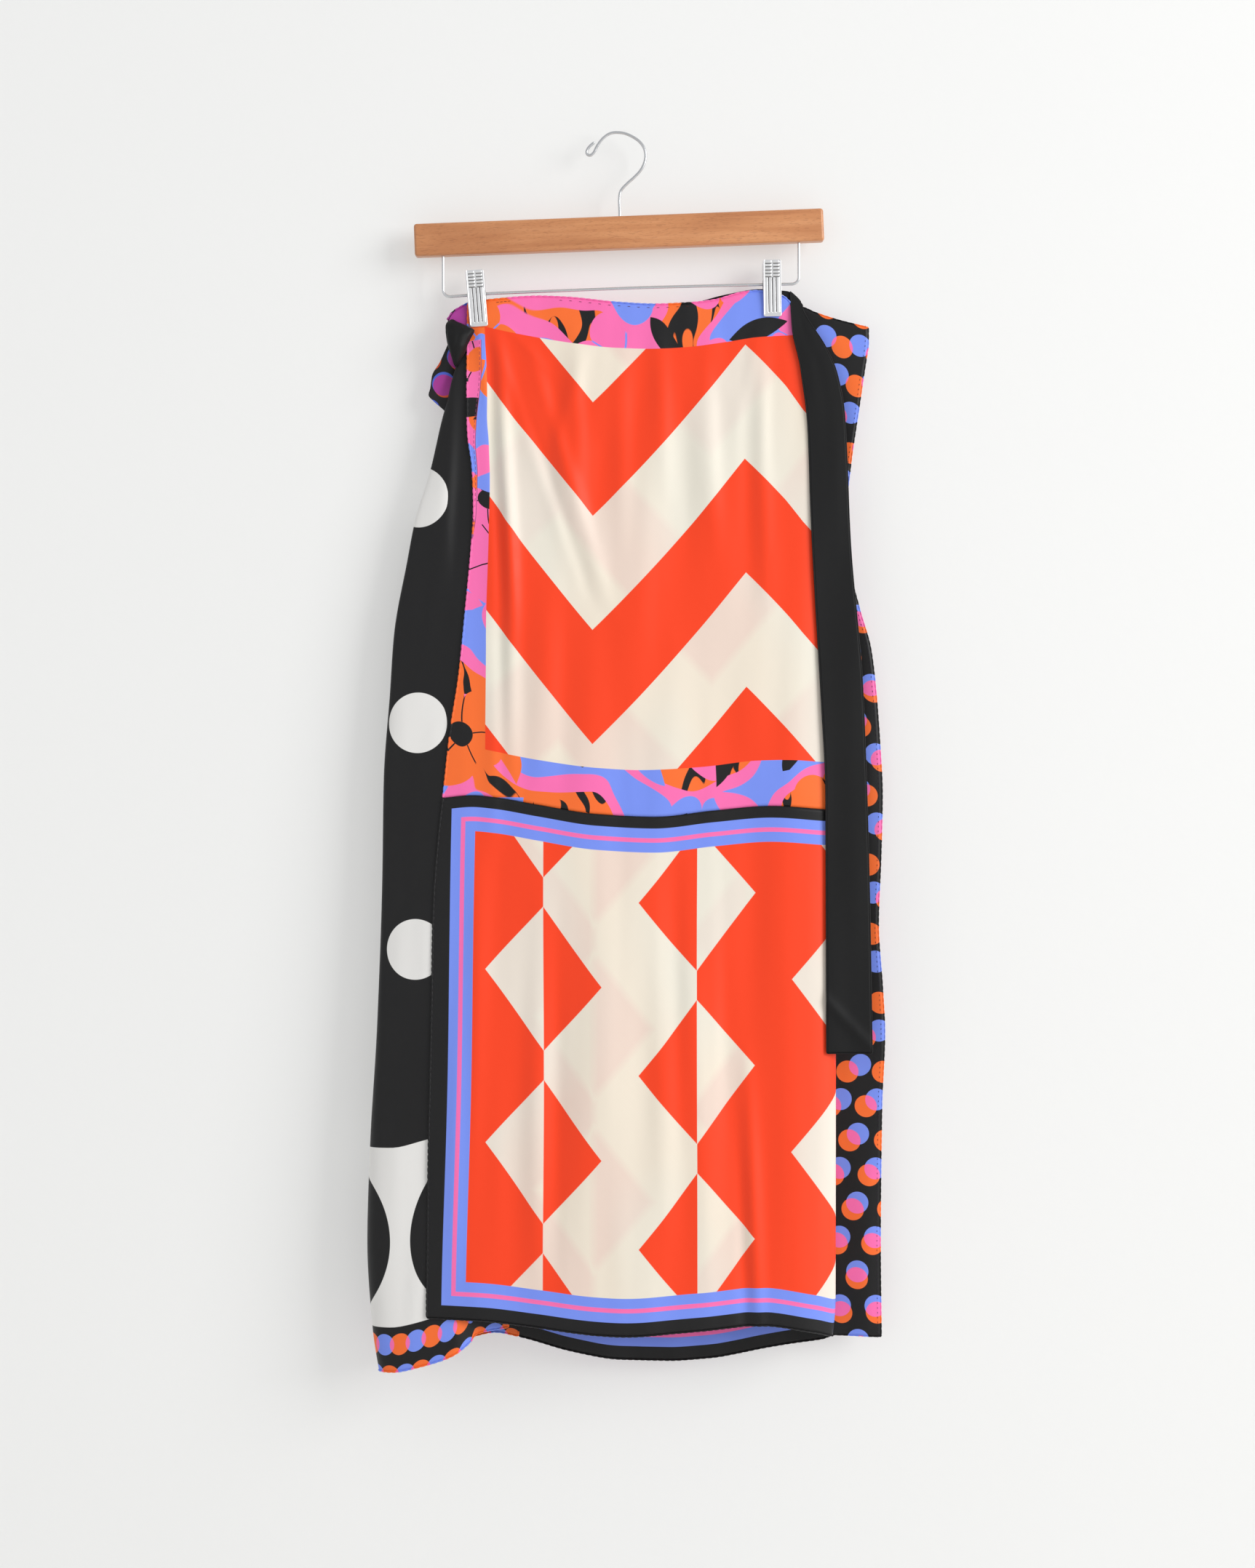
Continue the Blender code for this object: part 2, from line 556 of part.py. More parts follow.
def build_clips():
    """Each clip is two sheet metal jaws on the wire, with its spring as a short sleeve between the ears."""
    turn = np.linspace(0, 2 * math.pi, SPRING_SIDES, endpoint=False)
    for clip in CLIPS:
        build_jaw(clip, "front", -1, clip.front, JAW_WIDTH / 2)
        build_jaw(clip, "back", 1, clip.back, JAW_WIDTH / 2 - EAR_THICK - SEAM_GAP)
        ring = [
            (end * SPRING_HALF_LENGTH, radius * math.cos(a), radius * math.sin(a))
            for radius in (SPRING_RADIUS, BORE_RADIUS)
            for end in (-1, 1)
            for a in turn
        ]
        count = len(turn)
        faces = []
        for first, second in ((0, 1), (1, 3), (3, 2), (2, 0)):
            for i in range(count):
                j = (i + 1) % count
                faces.append((first * count + i, first * count + j, second * count + j, second * count + i))
        place_on(clip, closed_mesh(f"{clip.name}_spring", ring, faces, CHROME))


for old in list(bpy.data.objects):
    bpy.data.objects.remove(old, do_unlink=True)
build_skirt()
build_flap()
build_tie()
build_knot()
build_hanger()
build_clips()
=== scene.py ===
"""Looks of a wrap skirt pieced from scarves, which hangs by its waist from a wooden clip hanger.

Sizes are in millimetres until a mesh is made, and in metres inside the materials. A drop is a height below
the origin, so z is its negative. +X is to the viewer's right, and -Y comes out of the front.
"""

import logging
import math
from dataclasses import dataclass, field
from enum import Enum
from typing import Any, Protocol, Sequence

import bmesh
import bpy
import numpy as np
import numpy.typing as npt
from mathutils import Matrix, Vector

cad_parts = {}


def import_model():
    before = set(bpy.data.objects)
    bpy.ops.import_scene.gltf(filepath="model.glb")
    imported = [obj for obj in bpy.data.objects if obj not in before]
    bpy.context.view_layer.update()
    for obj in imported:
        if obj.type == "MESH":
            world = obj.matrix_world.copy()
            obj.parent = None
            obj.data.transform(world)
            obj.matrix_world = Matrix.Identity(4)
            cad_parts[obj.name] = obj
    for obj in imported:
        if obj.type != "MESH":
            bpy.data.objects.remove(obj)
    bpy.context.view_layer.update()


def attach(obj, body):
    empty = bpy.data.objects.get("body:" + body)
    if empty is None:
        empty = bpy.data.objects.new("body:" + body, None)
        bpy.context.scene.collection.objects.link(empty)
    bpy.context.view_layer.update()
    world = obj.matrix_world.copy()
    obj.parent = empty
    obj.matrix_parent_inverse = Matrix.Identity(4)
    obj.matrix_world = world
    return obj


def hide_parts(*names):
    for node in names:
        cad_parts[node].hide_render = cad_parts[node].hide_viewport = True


Numbers = npt.NDArray[np.float64]
Faces = npt.NDArray[np.int64]
Table = Sequence[tuple[float, float]]
Span = tuple[float, float]
Point = tuple[float, float, float]
Colour = tuple[float, float, float, float]
Socket = bpy.types.NodeSocket
Material = bpy.types.Material

log = logging.getLogger("scarf_skirt")

MM = 0.001
BODY = "root"
SHELL = 0.4  # thickness of the finished cloth

# Layers of the tube, as y at the waist and y at the hem
OUTER_FRONT = (-1.6, -22.0)
UNDER_FRONT = (0.0, -19.4)
BACK = (1.6, 18.5)
FLAP_LAYER = (3.2, 24.0)
CLAMPED_DROP, HEM_DROP, OPENING_POWER = 178.0, 1044.0, 0.8
TIGHTEST_BEND, WIDEST_FOLD = 1.0, 55.0
UNEVEN_WAVES = 6  # waves in the slow swells of the cloth
EDGE_SHARE, EDGE_COLUMNS = 0.055, 14  # closer columns near a sheet's plain edge

# Edges that run across: x, drop
WAIST_EDGE = (
    (-146, 161), (-142, 155), (-135, 150.4), (-128, 147), (-112, 144.6), (-67, 141.3), (-42, 142.2),
    (2, 146.6), (34, 148.2), (60, 147.2), (85, 144.6), (110, 137.8), (123, 136.5), (136, 138),
    (147, 142), (153, 148), (163, 158),
)
PANEL_SEAM = ((-149, 577), (-124, 574.8), (-105, 576.4), (-67, 583), (-16, 591), (34, 593.4), (85, 588),
              (135, 584), (181, 587))
FRONT_HEM = ((-163, 1025), (-117, 1027), (-67, 1033), (-16, 1039), (9, 1040), (72, 1036), (126, 1032),
             (173, 1039), (189, 1044))
BACK_HEM = ((-205, 1074), (-180, 1071), (-150, 1063), (-121, 1048), (-105, 1045), (-85, 1049),
            (-42, 1061.3), (9, 1069.6), (47, 1070.7), (85, 1067.8), (135, 1057), (180, 1049), (189, 1044))
SIDE_HEM = ((-205, 1074), (-193, 1073.5), (-168, 1067.5), (-143, 1059), (-125, 1046.5), (-121, 1041),
            (-92, 1035))
FLAP_TOP = ((97, 150), (150, 149), (163, 150), (173, 154.2), (192, 160.5), (220, 167.5))
FLAP_HEM = ((97, 1052), (190, 1049), (232, 1050))
BAND_END = ((66, 170), (134, 170), (144, 139.5), (153, 147), (163, 156.5))
BAND_TOP = ((66, 148), (97, 139.7), (126, 135.2), (145, 136.5), (150, 137.1), (157, 142.2), (163, 149))

# Edges that run down: drop, x
FRONT_FREE_EDGE = ((148, -128), (185, -128.5), (241, -128.5), (265, -127.7), (295, -123.9), (332, -122.6),
                   (364, -124.5), (421, -129.6), (478, -135.2), (528, -142.8), (577, -148), (617, -152.5),
                   (680, -157), (768, -158.5), (895, -161), (1025, -162.3))
RIGHT_FOLD = ((147, 158), (155, 162.4), (200, 173.8), (250, 180), (326, 184.5), (490, 189.6), (579, 190.9),
              (799, 191.2), (1011, 190.9), (1043, 188.5))
LEFT_FOLD = ((150, -146), (162, -144), (181, -141), (197, -138.4), (214, -143.5), (238, -150.4),
             (285, -161.2), (326, -173.8), (362, -180.8), (427, -192.4), (478, -195.9), (554, -201.3),
             (642, -202.6), (768, -207), (878, -213.3), (958, -215.5), (1034, -210.8), (1074, -204.8))
UNDER_INNER_EDGE = ((150, -100), (1036, -92))
BACK_SEAM = ((147, -85), (1049, -85))
SIDE_BACK_SEAM = ((147, -85.3), (1049, -85.3))
FLAP_LEFT_EDGE = ((150, 97), (1052, 97))
FLAP_RIGHT_EDGE = ((167, 220), (184, 217.4), (225, 211.7), (276, 204.8), (313, 201.6), (364, 204.1),
                   (399, 212.4), (434, 222.5), (465, 226.5), (516, 230.5), (566, 233), (617, 232),
                   (680, 229.8), (737, 233.5), (778, 235.5), (844, 233), (958, 232), (1050, 233))
TIE_LEFT_EDGE = ((142, 151.7), (174, 153.6), (200, 160.5), (250, 166.8), (326, 169.4), (402, 173.2),
                 (490, 178.2), (573, 182), (798, 182.6))
TIE_RIGHT_EDGE = ((142, 161), (149, 163.7), (180, 182.6), (203, 192.1), (238, 198.4), (351, 203.5),
                  (484, 214.2), (674, 219.9), (798, 221.8))

# Depth of the sash's fall: drop, y
TIE_DEPTH = ((138, -1.7), (146, -1.9), (152, -3.6), (200, -5.6), (250, -6.6), (400, -8.6), (575, -11.2),
             (798, -13))

# Facing that is turned out along the front's free edge: drop, width
FACING_WIDTH = ((165, 11.5), (205, 12), (250, 7.7), (275, 5.4), (310, 3.2), (340, 1), (365, -2), (600, -2))

# Lower edges of the upper print's waist band and of its middle: x, drop
PRINT_TOP = ((-117, 166.8), (-92, 172.5), (-54, 179.5), (-29, 183.3), (3, 186.4), (34, 187.1), (66, 185.2),
             (98, 180.8), (123, 177), (154, 175))
PRINT_BOTTOM = ((-115, 534.7), (-67, 544.2), (-16, 551.1), (21, 553), (72, 550.5), (123, 544.8),
                (148, 544.2), (180, 546))
PRINT_HEIGHT = 363.0

# Drops between which a step comes in
SWELLS_BEGIN = (165, 260)
FACING_BEGINS = (170, 185)


@dataclass(frozen=True)
class Flute:
    """A fold that opens towards the hem: x of its line at the waist and at the hem, and its size there."""

    waist_x: float
    hem_x: float
    width: float
    height: float


@dataclass(frozen=True)
class Crease:
    """A soft ridge along a line from one end to the other, highest at its middle."""

    x0: float
    drop0: float
    x1: float
    drop1: float
    width: float
    height: float


def creases(*rows: tuple[float, float, float, float, float, float]) -> tuple[Crease, ...]:
    """Creases from rows of x0, drop0, x1, drop1, width and height."""
    return tuple(Crease(*row) for row in rows)


FRONT_FLUTES = (Flute(-60, 5, 60, 6), Flute(100, 124, 26, -3.5), Flute(-112, -120, 28, 2.5))
BACK_FLUTES = (Flute(-40, -55, 34, 3), Flute(60, 50, 45, 5), Flute(120, 138, 24, -3),
               Flute(-120, -150, 26, 3))
FRONT_CREASES = creases(
    (-99, 190, -99, 445, 10, 2.6), (-92, 196, -26, 395, 13, 2.8), (-4, 190, -8, 275, 14, 1.6),
    (62, 195, 80, 340, 13, 1.6), (-111, 160, -95.5, 440, 5, -2.6), (-102, 160, -86, 440, 6, 3.2),
    (-101, 300, -98, 590, 6, -2), (-91, 300, -88, 600, 7, 2.4), (-92, 196, -16, 420, 6, -2.2),
    (-79, 172, 0, 430, 8, 3.4), (-52, 186, -58, 330, 8, -1.1), (-36, 158, -30, 340, 8, 2.1),
    (-6, 188, -14, 350, 9, -1.3), (7, 160, 6, 370, 9, 2.2), (76, 160, 88, 380, 9, 2.3),
    (60, 190, 66, 400, 9, -1.3), (124, 166, 133, 440, 7, 1.9), (111, 180, 118, 420, 7, -1.1),
    (36, 162, 44, 330, 8, 1.5), (-16, 156, -60, 300, 7, 0.9), (-119, 160, -108, 262, 4.5, 1.3),
    (-111, 163, -78, 250, 6, 0.9), (-104, 158, -52, 214, 5, 0.6), (-34, 156, -22, 236, 8, 0.5),
    (38, 160, 46, 262, 9, 0.6), (84, 156, 96, 236, 7, 0.6), (124, 166, 104, 268, 6, 0.8),
    (131, 168, 128, 300, 5, 0.7), (18, 300, 30, 572, 20, 1.9), (98, 330, 112, 566, 15, 2),
    (-58, 380, -62, 575, 12, 1.8), (-100, 440, -106, 640, 9, 1.7), (-64, 610, -70, 1028, 11, 2.5),
    (-49, 640, -52, 1000, 8, -1.4), (-20, 596, -8, 1000, 15, 2.4), (34, 640, 40, 960, 11, 2),
    (52, 620, 56, 900, 8, -1.3), (66, 700, 78, 1030, 12, 2.6), (94, 610, 98, 1000, 8, -1.3),
    (113, 780, 128, 1130, 7, 3.4), (104, 820, 117, 1130, 6, -1.4), (-118, 600, -124, 960, 8, 1.7),
    (-132, 690, -140, 1010, 7, 1.6),
)
BACK_CREASES = creases(
    (-60, 170, -50, 420, 10, 1.2), (-20, 175, 8, 360, 12, 1.4), (40, 165, 34, 300, 9, 0.9),
    (92, 170, 80, 390, 12, 1.3), (-30, 480, -36, 840, 15, 1.3), (24, 560, 30, 1040, 16, 1.5),
    (98, 620, 108, 1020, 12, 1.2), (-66, 820, -68, 1046, 9, 1.1),
)
SIDE_CREASES = creases(
    (-134, 195, -150, 420, 7, 1.9), (-138, 205, -176, 520, 9, 2), (-150, 480, -168, 830, 12, 1.9),
    (-182, 560, -190, 980, 9, 1.5), (-128, 860, -150, 1050, 8, 1.6), (-160, 900, -176, 1066, 8, 1.8),
)


def read_curve(table: Table, at: npt.ArrayLike) -> Numbers:
    """Reads a table on a smooth curve that never overshoots.

    The curve is a cubic between neighbouring rows. Its slope at a row is the harmonic mean of the slopes on
    both sides, or nought where they differ in sign.

    Args:
        table: rows of place and value, in rising order of place.
        at: the places to read, held within the table's ends.

    Returns:
        The values, in the shape of at.
    """
    place, value = np.array(table, float).T
    step = np.diff(place)
    slope = np.diff(value) / step
    total = slope[:-1] + slope[1:]
    same_way = slope[:-1] * slope[1:] > 0
    middle = np.where(same_way, 2 * slope[:-1] * slope[1:] / np.where(same_way, total, 1), 0)
    tangent = np.concatenate([slope[:1], middle, slope[-1:]])
    at = np.clip(at, place[0], place[-1])
    i = np.clip(np.searchsorted(place, at, side="right") - 1, 0, len(step) - 1)
    t = (at - place[i]) / step[i]
    return (
        (1 + 2 * t) * (1 - t) ** 2 * value[i]
        + t * (1 - t) ** 2 * step[i] * tangent[i]
        + t**2 * (3 - 2 * t) * value[i + 1]
        + t**2 * (t - 1) * step[i] * tangent[i + 1]
    )


def smooth_step(value: Numbers, low: float, high: float) -> Numbers:
    """Rises smoothly from 0 at low to 1 at high: three times the square less twice the cube."""
    t = np.clip((value - low) / (high - low), 0, 1)
    return t * t * (3 - 2 * t)


def round_over(share: Numbers) -> Numbers:
    """Height of a quarter round: 1 where the share is 0, and 0 where it is 1 or more."""
    return np.sqrt(np.clip(1 - share**2, 0, 1))


def opening(drop: Numbers) -> Numbers:
    """How far the tube has opened: 0 down to the clips' lips, 1 at the hem."""
    return np.clip((drop - CLAMPED_DROP) / (HEM_DROP - CLAMPED_DROP), 0, 1.1) ** OPENING_POWER


def layer_depth(layer: Span, drop: Numbers) -> Numbers:
    """The y of a layer, which moves out from the waist to the hem as the tube opens."""
    return layer[0] + (layer[1] - layer[0]) * opening(drop)


def bell(x: Numbers, line: Numbers, fold: Flute | Crease) -> Numbers:
    """A fold's height across its line: a bell of the fold's width."""
    return fold.height * np.exp(-(((x - line) / fold.width) ** 2))


def relief(flutes: Sequence[Flute], ridges: Sequence[Crease], x: Numbers, drop: Numbers) -> Numbers:
    """Height of the folds above the plain layer.

    A flute is a bell across its line, and grows as the tube opens. A crease is a bell across its line, times
    a half sine along it.

    Args:
        flutes: folds that open towards the hem.
        ridges: creases.
        x: places across.
        drop: places down.

    Returns:
        The height at each place.
    """
    open_share = opening(drop)
    height = np.zeros(np.broadcast(x, drop).shape)
    for fold in flutes:
        line = fold.waist_x + (fold.hem_x - fold.waist_x) * open_share
        height = height + open_share * bell(x, line, fold)
    for fold in ridges:
        along = np.clip((drop - fold.drop0) / (fold.drop1 - fold.drop0), 0, 1)
        line = fold.x0 + (fold.x1 - fold.x0) * along
        height = height + np.sin(math.pi * along) * bell(x, line, fold)
    return height


def unevenness(x: Numbers, drop: Numbers, seed: int, height: float) -> Numbers:
    """Slow uneven swells of hanging cloth: a sum of sine waves that run mostly across.

    Args:
        x: places across.
        drop: places down.
        seed: picks the waves.
        height: about the most that the swells rise or sink.

    Returns:
        The height of the swells at each place.
    """
    chance = np.random.default_rng(seed)
    total = np.zeros(np.broadcast(x, drop).shape)
    for _ in range(UNEVEN_WAVES):
        across = 2 * math.pi / chance.uniform(26, 90)
        down = 2 * math.pi / chance.uniform(180, 520) * chance.choice((-1, 1))
        total = total + np.sin(across * x + down * drop + chance.uniform(0, 2 * math.pi))
    return height * total / math.sqrt(UNEVEN_WAVES)


def between(low: Table, high: Table, at: Numbers, share: Numbers) -> Numbers:
    """Places between two edges, at a share of the way from the first to the second."""
    start = read_curve(low, at)
    return start + (read_curve(high, at) - start) * share


def shares(count: int, rows: bool = False) -> Numbers:
    """Even shares from 0 to 1, in one column where they go down the rows of a grid, or else in one row."""
    return np.linspace(0, 1, count)[:, None] if rows else np.linspace(0, 1, count)[None, :]


def unit(vectors: Numbers) -> Numbers:
    """The vectors along the last axis, each with a length of 1."""
    return vectors / np.linalg.norm(vectors, axis=-1, keepdims=True)


def arc_length(points: Numbers) -> Numbers:
    """Length along each row of a grid of points, from its first column."""
    step = np.linalg.norm(np.diff(points, axis=-2), axis=-1)
    return np.concatenate([np.zeros_like(step[..., :1]), np.cumsum(step, axis=-1)], axis=-1)


def resample(path: Numbers, spacing: float) -> Numbers:
    """A path with its points spread evenly. Columns after the third, such as UVs, are carried along.

    Args:
        path: a row for each point.
        spacing: about the distance between points.

    Returns:
        The new rows, at least four.
    """
    length = arc_length(path[:, :3])
    at = np.linspace(0, length[-1], max(int(length[-1] / spacing), 4))
    return np.stack([np.interp(at, length, column) for column in path.T], axis=-1)


def smooth_path(points: Sequence[tuple[float, ...]], samples: int) -> Numbers:
    """Points on a Catmull-Rom curve through the given ones, with so many samples to each stretch.

    Args:
        points: what the curve goes through.
        samples: steps to each stretch.

    Returns:
        The curve's points, a row for each.
    """
    p = np.array(points, float)
    p = np.concatenate([2 * p[:1] - p[1:2], p, 2 * p[-1:] - p[-2:-1]])
    t = np.linspace(0, 1, samples, endpoint=False)[None, :, None]
    a, b, c, d = (p[i : len(p) - 3 + i, None, :] for i in range(4))
    curve = 0.5 * (
        2 * b + (c - a) * t + (2 * a - 5 * b + 4 * c - d) * t**2 + (3 * b - a - 3 * c + d) * t**3
    )
    return np.concatenate([curve.reshape(-1, p.shape[1]), p[-2:-1]])


def bent_path(corners: Sequence[Point], steps: int) -> Numbers:
    """Straight runs between corners of x, z and bend radius, each rounded by an arc of its own radius.

    Args:
        corners: x, z and bend radius of each.
        steps: points to each arc.

    Returns:
        The path's points of x and z.
    """
    out = [np.array(corners[0][:2])]
    for before, corner, after in zip(corners, corners[1:], corners[2:]):
        at, radius = np.array(corner[:2]), corner[2]
        to_start = unit(np.array(before[:2]) - at)
        to_end = unit(np.array(after[:2]) - at)
        half = math.acos(np.clip(to_start @ to_end, -1, 1)) / 2
        centre = at + unit(to_start + to_end) * radius / math.sin(half)
        start = at + to_start * radius / math.tan(half) - centre
        end = at + to_end * radius / math.tan(half) - centre
        angle = np.linspace(0, math.atan2(start[0] * end[1] - start[1] * end[0], start @ end), steps)
        quarter = np.array([-start[1], start[0]])
        out.extend(centre + np.cos(angle)[:, None] * start + np.sin(angle)[:, None] * quarter)
    return np.array(out + [np.array(corners[-1][:2])])


def tilted(points: Numbers, angle: float, x: float, z: float) -> Numbers:
    """Points turned by an angle in the plane of x and z, with their origin moved to a place in it.

    Args:
        points: rows of x, y and z.
        angle: in radians, from X towards Z.
        x: where the origin goes to.
        z: its height there.

    Returns:
        The moved points.
    """
    cos, sin = math.cos(angle), math.sin(angle)
    across, depth, up = (points[..., i] for i in range(3))
    return np.stack([x + across * cos - up * sin, depth, z + across * sin + up * cos], axis=-1)


def grid_faces(rows: int, columns: int, wrap: bool = False) -> Faces:
    """Quads of a grid whose rows run down and columns across, facing the viewer at -Y.

    Args:
        rows: rows of points.
        columns: points in a row.
        wrap: joins the last column to the first.

    Returns:
        The four corners of each quad.
    """
    index = np.arange(rows * columns).reshape(rows, columns)
    if wrap:
        index = np.concatenate([index, index[:, :1]], axis=1)
    corners = (index[:-1, :-1], index[1:, :-1], index[1:, 1:], index[:-1, 1:])
    return np.stack(corners, axis=-1).reshape(-1, 4)


def linked(name: str, data: Any) -> bpy.types.Object:
    """A new object with this data, in the scene.

    Args:
        name: its name.
        data: a mesh, a light or a camera.

    Returns:
        The object.
    """
    made = bpy.data.objects.new(name, data)
    bpy.context.scene.collection.objects.link(made)
    return made


@dataclass
class MeshParts:
    """Points, faces and UVs of one piece, gathered part by part."""

    points: list[Numbers] = field(default_factory=list)
    faces: list[Faces] = field(default_factory=list)
    prints: list[Numbers] = field(default_factory=list)
    edges: list[Numbers] = field(default_factory=list)
    count: int = 0

    def add(self, points: Numbers, faces: Sequence[Faces], *maps: Numbers) -> "MeshParts":
        """Adds a part.

        Args:
            points: its points in millimetres, with x, y and z along the last axis.
            faces: arrays of faces, each array with one number of corners.
            maps: the place of each point on the print, and then two more distances on the cloth.

        Returns:
            The same parts.
        """
        flat = points.reshape(-1, 3)
        blank = np.zeros((len(flat), 2))
        self.points.append(flat)
        self.faces.extend(part + self.count for part in faces)
        for store, uv in zip((self.prints, self.edges), (*maps, blank, blank)):
            store.append(uv.reshape(-1, 2))
        self.count += len(flat)
        return self

    def add_grid(self, points: Numbers, *maps: Numbers) -> "MeshParts":
        """Adds a grid of rows x columns x 3 points."""
        return self.add(points, [grid_faces(*points.shape[:2])], *maps)

    def add_rings(self, rings: Numbers, *maps: Numbers) -> "MeshParts":
        """Adds a skin over rings of points, closed round each ring and at both ends.

        Args:
            rings: rings x sides x 3 points.
            maps: as in add.

        Returns:
            The same parts.
        """
        count, sides = rings.shape[:2]
        end = np.arange(sides)[None, :]
        caps = [end[:, ::-1], end + (count - 1) * sides]
        return self.add(rings, [grid_faces(count, sides, wrap=True), *caps], *maps)

    def mesh(self, name: str) -> bpy.types.Mesh:
        """The mesh of all the parts, in metres, with its two UV maps.

        Args:
            name: the mesh's name.

        Returns:
            The mesh, with the UV maps print and edge.
        """
        mesh = bpy.data.meshes.new(name)
        corners = np.concatenate([part.ravel() for part in self.faces])
        sizes = np.concatenate([np.full(len(part), part.shape[1]) for part in self.faces])
        mesh.vertices.add(self.count)
        mesh.vertices.foreach_set("co", (np.concatenate(self.points) * MM).ravel())
        mesh.loops.add(len(corners))
        mesh.loops.foreach_set("vertex_index", corners)
        mesh.polygons.add(len(sizes))
        mesh.polygons.foreach_set("loop_start", np.concatenate([[0], np.cumsum(sizes)[:-1]]))
        mesh.update(calc_edges=True)
        mesh.validate()
        for layer, values in (("print", self.prints), ("edge", self.edges)):
            uv = np.concatenate(values)[corners] * MM
            mesh.uv_layers.new(name=layer).data.foreach_set("uv", uv.ravel())
        return mesh

    def make(self, name: str, finish: Material, slot: str, *nodes: str, sheet: bool = False,
             sharp: float | None = None) -> bpy.types.Object:
        """Makes the piece and rides it on the skirt's body.

        Args:
            name: the piece's name.
            finish: its material.
            slot: not used.
            nodes: the solids that it stands for.
            sheet: the parts are open sheets, which get the cloth's thickness evenly on both sides. Other
                parts are closed skins, whose faces are turned to point out.
            sharp: edges that bend more than so many degrees are sharp.

        Returns:
            The piece's object.
        """
        mesh = self.mesh(name)
        if not sheet:
            skin = bmesh.new()
            skin.from_mesh(mesh)
            bmesh.ops.recalc_face_normals(skin, faces=skin.faces)
            skin.to_mesh(mesh)
            skin.free()
        mesh.shade_smooth()
        if sharp is not None:
            mesh.set_sharp_from_angle(angle=math.radians(sharp))
        made = linked(name, mesh)
        if sheet:
            shell = made.modifiers.new("cloth", "SOLIDIFY")
            shell.thickness = SHELL * MM
            shell.offset = 0.0
        mesh.materials.append(finish)
        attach(made, BODY)
        if nodes:
            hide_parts(*nodes)
        log.info("%s: %d points", name, self.count)
        return made


@dataclass(frozen=True)
class Tube:
    """A round or flattened section carried along a path, with domed ends.

    Each ring is the path's point plus the section in the plane across the path. The section's first axis is
    the path's direction crossed with reference, and its second axis is across both.
    """

    half_width: float
    half_height: float
    sides: int
    reference: Point

    def add_to(self, parts: MeshParts, path: Numbers, swell: Numbers | float = 1.0) -> None:
        """Adds the tube to a piece.

        Args:
            parts: the piece.
            path: points in millimetres. Columns after the third are the UVs that the ring takes.
            swell: the section's size along the path.
        """
        place = path[:, :3]
        tangent = unit(np.gradient(place, axis=0))
        first = unit(np.cross(tangent, np.array(self.reference, float)))
        second = np.cross(first, tangent)
        length = arc_length(place)
        near = np.minimum(length, length[-1] - length) / max(self.half_width, self.half_height)
        # A dome's last ring stays a little open, so that its points don't meet
        dome = np.sqrt(np.clip(1 - (1 - np.clip(near, 0.02, 1)) ** 2, 0.03, 1))
        turn = np.linspace(0, 2 * math.pi, self.sides, endpoint=False)
        ring = (
            np.cos(turn)[None, :, None] * first[:, None, :] * self.half_width
            + np.sin(turn)[None, :, None] * second[:, None, :] * self.half_height
        )
        rings = place[:, None, :] + ring * (swell * dome)[:, None, None]
        maps = (np.repeat(path[:, at : at + 2], self.sides, axis=0) for at in range(3, path.shape[1], 2))
        parts.add_rings(rings, *maps)


class Rolled(Enum):
    """How a hem's tube is turned: its reference is out of the cloth for edges down, up for edges across."""

    DOWN = (0.0, 1.0, 0.0)
    ACROSS = (0.0, 0.0, 1.0)


@dataclass(frozen=True)
class RolledHem:
    """A narrow hem rolled by hand: a tube that is pinched a little at each stitch."""

    radius: float = 1.0
    flatness: float = 0.75
    stitch: float = 5.4
    pinch: float = 0.42
    spacing: float = 0.9

    def roll(self, *borders: tuple[Numbers, Rolled]) -> MeshParts:
        """Rolls the hem along borders, whose columns are x, y, z and their UVs.

        Args:
            borders: each border, and how its tube is turned.

        Returns:
            The tubes, as parts.
        """
        parts = MeshParts()
        for border, way in borders:
            path = resample(border, self.spacing)
            stitches = arc_length(path[:, :3]) / self.stitch
            swell = 1 - self.pinch * np.abs(np.cos(math.pi * stitches)) ** 6
            Tube(self.radius, self.radius * self.flatness, 8, way.value).add_to(parts, path, swell)
        return parts


@dataclass(frozen=True)
class StitchLine:
    """A row of short threads on the front of the cloth, each a small capsule.

    profile holds the capsule's rings, as shares of its half length and of its radius.
    """

    pitch: float = 4.2
    length: float = 2.2
    radius: float = 0.2
    sink: float = 0.05
    sides: int = 6
    profile: Table = ((-1, 0.25), (-0.8, 0.8), (0, 1), (0.8, 0.8), (1, 0.25))

    def add_to(self, parts: MeshParts, path: Numbers) -> None:
        """Sews along a path on the middle of the cloth, with the threads raised out of its front.

        Args:
            parts: the piece.
            path: rows of x, y and z.
        """
        line = resample(path + np.array([0.0, -SHELL / 2, 0.0]), self.pitch)[:, None, None, :]
        tangent = unit(np.gradient(line, axis=0))
        out = np.array([0.0, -1.0, 0.0])
        across = unit(np.cross(tangent, out))
        along, size = np.array(self.profile).T[:, :, None, None]
        turn = np.linspace(0, 2 * math.pi, self.sides, endpoint=False)[None, :, None]
        ring = across * np.cos(turn) + out * np.sin(turn)
        centre = line + out * (self.radius - self.sink) + tangent * along * self.length / 2
        for thread in centre + ring * size * self.radius:
            parts.add_rings(thread)


